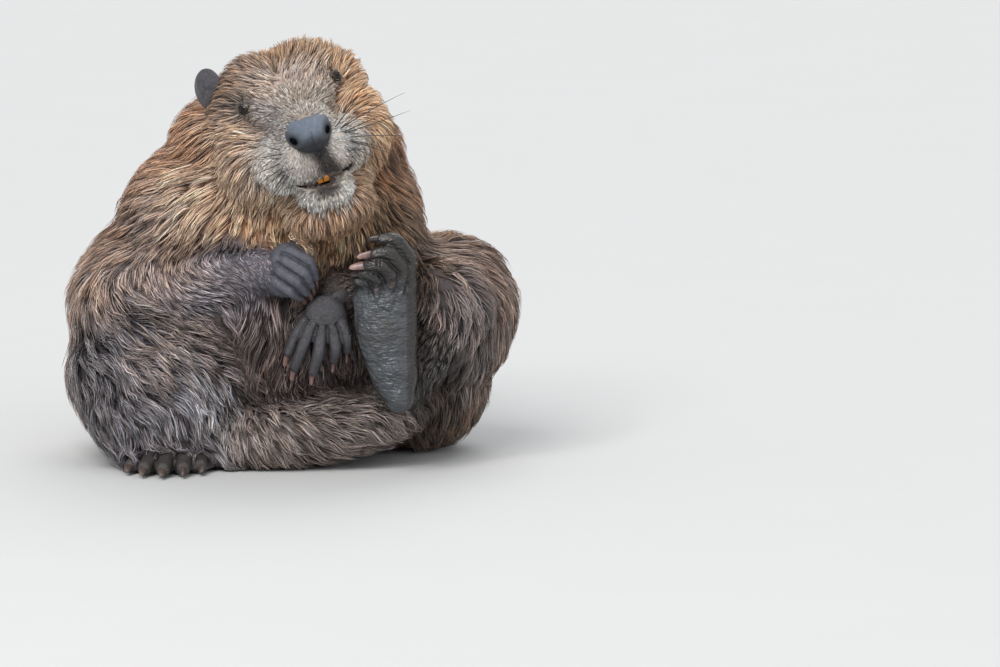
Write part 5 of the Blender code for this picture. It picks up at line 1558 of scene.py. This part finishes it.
def makeNose(rows=90, columns=144):
    # a rounded wedge, broad above: half width changes with height, the front bulges between two deep
    # leaning nostrils with raised rims, and a shallow groove runs down the middle of its lower half
    u = np.linspace(math.pi, 0, rows + 2)[1:-1, None]
    v = around(columns)[None, :]
    shape = np.stack([np.sin(u) * np.cos(v), -np.cos(u) + 0 * v, np.sin(u) * np.sin(v)], -1)
    ends = np.array([[[0, 1.0, 0]], [[0, -1.0, 0]]])

    def place(p):
        n = nosePad["square"]
        fuller = (np.abs(p[..., 0]) ** n + np.abs(p[..., 2]) ** n + 1e-12) ** (1 / n)
        fuller = np.hypot(p[..., 0], p[..., 2]) / fuller
        wide = 0.7 + 0.3 * ease(p[..., 2], -1.0, 0.1)
        x = p[..., 0] * fuller * wide * nosePad["width"] / 2
        z = p[..., 2] * fuller * nosePad["height"] / 2
        y = p[..., 1] * nosePad["bulge"] + nosePad["lean"] * (z / 0.015) + nosePad["bow"] * x**2
        front = ease(-p[..., 1], -0.1, 0.3)
        y = y - front * nosePad["dish"] * np.exp(-((x / 0.0105) ** 2) - ((z + 0.001) / 0.011) ** 2)
        y = y - front * nostrils["rim"] * (nostrilShare(x, z, 2.0) - nostrilShare(x, z, 1.3))
        y = y + front * nostrils["depth"] * nostrilShare(x, z)
        y = y + nosePad["groove"] * np.exp(-((x / 0.0012) ** 2)) * ease(-z, -0.002, 0.008) * front
        return np.stack([x, y, z], -1)

    tilt = turned((nosePad["tilt"], 0, 0))
    put = lambda p: fromHead(place(p) @ tilt.T + nosePad["place"])
    verts, tris, quads = shell(put(shape), put(ends[0]), put(ends[1]))
    local = (toHead(verts) - nosePad["place"]) @ tilt
    x, z = local[:, 0], local[:, 2]
    tone = np.tile(linear(nosePad["tone"]), (len(verts), 1))
    # painted shade: nearly black in the nostrils' pits, darker towards the sides and darkest on the underside
    tone = tone * (1 - 0.97 * np.clip(nostrilShare(x, z, 1.0) * 1.3, 0, 1)[:, None])
    tone = tone * (1 - 0.6 * ease(np.abs(x), 0.0145, 0.019)[:, None])
    tone = tone * (1 - 0.9 * ease(-z, 0.0, 0.0115)[:, None])
    mesh = meshFrom("nosePad", verts, [tris, quads])
    paint(mesh, "noseTone", tone)
    finishPiece(mesh, noseMaterial(), ["nose"])


makeNose()

# Eyes

def makeEyes():
    # a ball of the node's own radius with a slight clear bulge in front; the ring marks the iris
    parts, rings = [], []
    for side in (-1, 1):
        v, t, q = ellipsoid((0, 0, 0), (1, 1, 1), rows=30, columns=48)
        ahead = v @ eyeAxes[side]
        bulge = 1 + 0.03 * ease(ahead, 0.8, 1.0)
        parts.append((eyeCentres[side] + v * eyeRadius * bulge[:, None], t, q))
        rings.append(ease(ahead, 0.6, 0.7) * (1 - ease(ahead, 0.9, 0.94)))
    verts, tris, quads = together(parts)
    mesh = meshFrom("eyes", verts, [tris, quads])
    paint(mesh, "eyeRing", np.concatenate(rings))
    finishPiece(mesh, eyeMaterial(), ["eye_right", "eye_left"])


makeEyes()

# Upper front teeth

def makeIncisors():
    # a curved chisel: rounded squares carried down a bent line, worn to an edge at the bottom
    parts = []
    for side in (-1, 1):
        t = np.linspace(0, 1, 18)
        across = -0.0004 + side * 0.0025 + 0 * t
        middle = np.stack([across, -0.0385 + 0.002 * (1 - t) ** 2, -0.06 - 0.0134 * t], -1)
        a = around(24)
        cx = np.sign(np.cos(a)) * np.abs(np.cos(a)) ** 0.6
        cy = np.sign(np.sin(a)) * np.abs(np.sin(a)) ** 0.6
        wide = 0.0024 * (1 - 0.1 * t)
        deep = 0.0019 * (1 - 0.85 * ease(t, 0.7, 1.0))
        offset = np.stack([wide[:, None] * cx, deep[:, None] * (cy - 1), 0 * t[:, None] * cx], -1)
        rings = middle[:, None] + offset
        parts.append(shell(fromHead(rings), fromHead(rings[:1].mean(1)), fromHead(rings[-1:].mean(1))))
    verts, tris, quads = together(parts)
    mesh = meshFrom("incisors", verts, [tris, quads])
    finishPiece(mesh, enamelMaterial(), ["incisor_right", "incisor_left"])


makeIncisors()

# Claws

clawTones = {
    "root": (58, 48, 47), "hand": (118, 88, 82), "foot_right": (88, 74, 68), "foot_left": (150, 120, 114),
    "small": (52, 45, 44),
}


def makeClaws():
    # rings that narrow to a blunt end along an arc from the end of a digit, broader than deep
    parts, tones = [], []
    for name, data in paws.items():
        for digit, share in zip(data["digits"], clawSizes.get(name, (1, 1, 1, 1, 1))):
            root, before = np.array(digit[-1]), np.array(digit[-2])
            along = unit(root - before)
            down = unit(along * 0.6 + unit(np.array(data["clawTurn"])) * 0.4)
            tip, size = data["tip"], data["clawLength"] * share
            bend = along * (0.6 * tip + 0.35 * size)
            knots = [root - along * 0.3 * tip, root + bend, root + along * 0.6 * tip + down * size]
            line = curveThrough(knots, 18) + bodyShift
            t = np.linspace(0, 1, 18)
            radii = data["clawWidth"] * (1.18 - 0.62 * t**1.3) * np.sqrt(np.clip((1.04 - t) / 0.16, 0, 1))
            parts.append(tube(line, radii, 14, 0.62, hint=np.cross(along, down) + 1e-3))
            own = np.concatenate([np.repeat(t, 14), [0, 1]])[:, None]
            end = linear(clawTones.get(name, clawTones["hand"]) if share > 0.75 else clawTones["small"])
            tones.append(linear(clawTones["root"]) * (1 - own) + end * own)
    verts, tris, quads = together(parts)
    mesh = meshFrom("claws", verts, [tris, quads])
    paint(mesh, "hornTone", np.vstack(tones))
    nodes = [f"claw_{paw}_{number}" for paw in paws for number in range(1, 6)]
    finishPiece(mesh, hornMaterial(), nodes)


makeClaws()

# Whiskers

whiskers = {
    "thick": 0.0005, "browLength": 0.024, "extra": 9,
    "ranges": ((0.016, 0.032), (-0.062, -0.036), (-70, 25), (0.012, 0.024)),  # of the extra ones' numbers
}
whiskerRows = [
    # side, start across and down in head numbers, angle up from straight out to the side in degrees, length
    (1, 0.022, -0.032, 54, 0.063), (1, 0.024, -0.035, 35, 0.068), (1, 0.026, -0.04, 19, 0.064),
    (1, 0.028, -0.044, 7, 0.046), (1, 0.029, -0.047, -6, 0.04), (1, 0.028, -0.052, -24, 0.034),
    (1, 0.024, -0.056, -46, 0.026), (1, 0.029, -0.038, 28, 0.04), (1, 0.031, -0.048, -12, 0.034),
    (1, 0.026, -0.034, 44, 0.034),
    (-1, 0.024, -0.04, -8, 0.034), (-1, 0.028, -0.046, -22, 0.036), (-1, 0.027, -0.052, -40, 0.03),
    (-1, 0.025, -0.056, -58, 0.03), (-1, 0.028, -0.058, -50, 0.034), (-1, 0.022, -0.06, -68, 0.024),
    (-1, 0.031, -0.05, -32, 0.03), (-1, 0.03, -0.042, 4, 0.028), (-1, 0.026, -0.036, 20, 0.024),
]


def makeWhiskers():
    # fine tapered hairs in bowed lines from the sides of the muzzle, and a few over each eye
    parts = []
    rows = list(whiskerRows)
    for side in (-1, 1):
        for _ in range(whiskers["extra"]):
            rows.append((side, *(random.uniform(low, high) for low, high in whiskers["ranges"])))
    for side, x, z, angle, size in rows:
        start, up = ontoSkin(fromHead([(side * x, -0.05, z)]))
        a = math.radians(angle)
        way = unit(np.array((side * math.cos(a), -0.3 - 0.25 * (angle > 40), math.sin(a))))
        t = np.linspace(0, 1, 16)[:, None]
        bow = (np.array((0, 0.16, -0.07)) + random.normal(0, 0.05, 3)) * size
        line = start[0] + way * size * t + bow * t**2 - up[0] * 0.001 * (1 - t)
        thick = whiskers["thick"] * min(1, 0.55 + size * 10)
        parts.append(tube(line, thick * (1 - 0.8 * t[:, 0] ** 1.3), 5))
    for side in (-1, 1):
        for i in range(3):
            start, up = ontoSkin(fromHead([(side * (0.03 + 0.003 * i), -0.014 + 0.005 * i, 0.012)]))
            way = unit(headTurn @ np.array((side * 0.4, -0.35, 1.0)) + random.normal(0, 0.12, 3))
            t = np.linspace(0, 1, 12)[:, None]
            line = start[0] + way * whiskers["browLength"] * t + np.array((0, 0.006, -0.002)) * t**2
            parts.append(tube(line, whiskers["thick"] * 0.6 * (1 - 0.85 * t[:, 0]), 5))
    verts, tris, quads = together(parts)
    mesh = meshFrom("whiskers", verts, [tris, quads])
    finishPiece(mesh, whiskerMaterial())


makeWhiskers()

# Scales on the tail's blade

scales = {"spacing": 0.0046, "rise": 0.00045, "tone": (70, 64, 60)}


def makeScales():
    # six-sided plates in offset rows on both faces of the blade, each tilted up at its rear edge
    s = scales["spacing"]
    rows = int(tail["length"] / (s * 0.86)) + 2
    columns = int(tail["width"] / s) + 2
    i, j = np.meshgrid(np.arange(rows), np.arange(columns), indexing="ij")
    x = ((j + 0.5 * (i % 2)) * s - tail["width"] / 2 - s).ravel()
    y = (i * s * 0.86 - 0.01).ravel()
    flat = np.stack([x, y, 0 * x], 1) @ tailTurn.T
    flat = flat + np.array(tail["waist"]) * (1, 1, 0) + bodyShift * (1, 1, 0)
    flat = flat + random.normal(0, s * 0.05, flat.shape) * (1, 1, 0)
    rearward = tailTurn @ np.array((0, 1.0, 0))
    verts, tones = [], []
    for top in (True, False):
        ray = Vector((0, 0, -1 if top else 1))
        begin = flat + (0, 0, 0.06 if top else -0.02)
        hits = [skinTree.ray_cast(p, ray) for p in begin.tolist()]
        good = np.array([h[0] is not None and abs(h[1].z) > 0.35 for h in hits])
        good &= flat[:, 1] - bodyShift[1] > 0.186
        places = np.array([h[0] for h, ok in zip(hits, good) if ok])
        ups = ontoSkin(places)[1]
        back = unit(rearward - ups * (ups @ rearward)[:, None])
        side = np.cross(back, ups)
        hexagon = around(6) + math.pi / 6
        size = s * 0.56 * (0.93 + 0.14 * random.random(len(places)))[:, None, None]
        outline = np.cos(hexagon)[None, :, None] * side[:, None]
        outline = size * (outline + np.sin(hexagon)[None, :, None] * back[:, None])
        tilt = (0.35 + 0.65 * (np.sin(hexagon) > 0))[None, :, None] * scales["rise"]
        lowRing = places[:, None] + outline - ups[:, None] * 0.0004
        highRing = places[:, None] + outline * 0.8 + ups[:, None] * tilt
        peak = places[:, None] + ups[:, None] * scales["rise"] * 0.95
        if not top:
            # the underside stays clear of the floor
            lift = np.maximum(0, 0.0003 - np.concatenate([lowRing, highRing, peak], 1)[..., 2].min(1))
            raised = np.array((0, 0, 1.0)) * lift[:, None, None]
            lowRing, highRing, peak = lowRing + raised, highRing + raised, peak + raised
        verts.append(np.concatenate([lowRing, highRing, peak], 1))
        tone = linear(scales["tone"]) * np.exp(random.normal(0, 0.14, len(places)))[:, None]
        # painted shade at each scale's low rim and a painted highlight at its peak
        shadeRing = np.concatenate([np.full(6, 0.45), np.full(6, 1.0), [1.15]])
        tones.append(tone[:, None] * shadeRing[None, :, None])
    verts, tones = np.concatenate(verts), np.concatenate(tones)
    n = len(verts)
    j = np.arange(6)
    k = (j + 1) % 6
    quads = np.stack([j, k, 6 + k, 6 + j], -1)
    underside = [[0, 2, 1], [0, 3, 2], [0, 4, 3], [0, 5, 4]]
    tris = np.vstack([np.stack([6 + j, 6 + k, np.full(6, 12)], -1), np.array(underside)])
    base = np.arange(n)[:, None, None] * 13
    faces = [(tris + base).reshape(-1, 3), (quads + base).reshape(-1, 4)]
    mesh = meshFrom("tailScales", verts.reshape(-1, 3), faces)
    paint(mesh, "scaleTone", tones.reshape(-1, 3))
    finishPiece(mesh, scaleMaterial())
    print("scales", n)


makeScales()

# Floor, light and camera

def makeFloor():
    # a large flat grid
    n = 24
    side = np.linspace(-20, 20, n)
    x, y = np.meshgrid(side, side, indexing="ij")
    verts = np.stack([x, y, 0 * x], -1).reshape(-1, 3)
    i, j = np.meshgrid(np.arange(n - 1), np.arange(n - 1), indexing="ij")
    a = (i * n + j).ravel()
    mesh = meshFrom("floor", verts, [np.stack([a, a + n, a + n + 1, a + 1], -1)])
    made, tree, shader = newMaterial("floorPale")
    tone = mixColour(tree, grain(tree, 9.0, 1.0), (0.485, 0.485, 0.48), (0.495, 0.495, 0.49))
    plug(tree, shader, {"Base Color": tone, "Roughness": 0.8})
    mesh.materials.append(made)
    addObject("floor", mesh)


lamps = {  # where each comes from, strength, how many degrees wide it is, and its colour
    "key": ((-0.5, -1.3, 1.35), 2.5, 36, (1.0, 0.99, 0.97)),
    "fill": ((0.9, -1.2, 0.35), 0.9, 70, (0.96, 0.97, 1.0)),
    "rim": ((0.3, 1.0, 1.2), 1.1, 45, (1.0, 1.0, 1.0)),
}
spark = {"place": (-1.0, -2.0, 1.7), "aim": (-1.0, -2.0, 1.5), "size": 0.3, "energy": 9}


def addLamp(name, kind, strength, place, aim):
    # a lamp at place, turned so that it shines against aim
    light = bpy.data.lights.new(name, kind)
    light.energy = strength
    made = addObject(name, light)
    made.location = place
    made.rotation_euler = Vector(aim).to_track_quat("Z", "Y").to_euler()
    return light


def makeLamps():
    # broad soft suns, and one small lamp near the camera for the spark in the eyes
    for name, (place, strength, wide, colour) in lamps.items():
        light = addLamp(name, "SUN", strength, (0, 0, 0), place)
        light.angle = math.radians(wide)
        light.color = colour
    light = addLamp("spark", "AREA", spark["energy"], spark["place"], spark["aim"])
    light.shape = "DISK"
    light.size = spark["size"]


makeFloor()
makeLamps()
bpy.context.scene.view_settings.view_transform = "Standard"
world = bpy.data.worlds.new("softSky")
world.use_nodes = True
plug(world.node_tree, world.node_tree.nodes["Background"], {"Color": (0.86, 0.89, 0.93, 1), "Strength": 0.75})
bpy.context.scene.world = world

view = {"tilt": 8.0, "distance": 14.0, "acrossImage": 0.82, "aim": (0.1722, 0.0955)}


def makeCamera():
    # far off and looking down by the tilt, its lens such that acrossImage metres fill the picture
    tilt = math.radians(view["tilt"])
    back = Vector((0, -math.cos(tilt), math.sin(tilt)))
    up = Vector((0, math.sin(tilt), math.cos(tilt)))
    aim = Vector((view["aim"][0], 0, 0)) + up * view["aim"][1] + Vector(bodyShift)
    data = bpy.data.cameras.new("camera")
    data.sensor_width = 36
    data.lens = 36 * view["distance"] / view["acrossImage"]
    data.clip_end = 100
    made = addObject("camera", data)
    made.location = aim + back * view["distance"]
    made.rotation_euler = (-back).to_track_quat("-Z", "Y").to_euler()
    bpy.context.scene.camera = made


makeCamera()
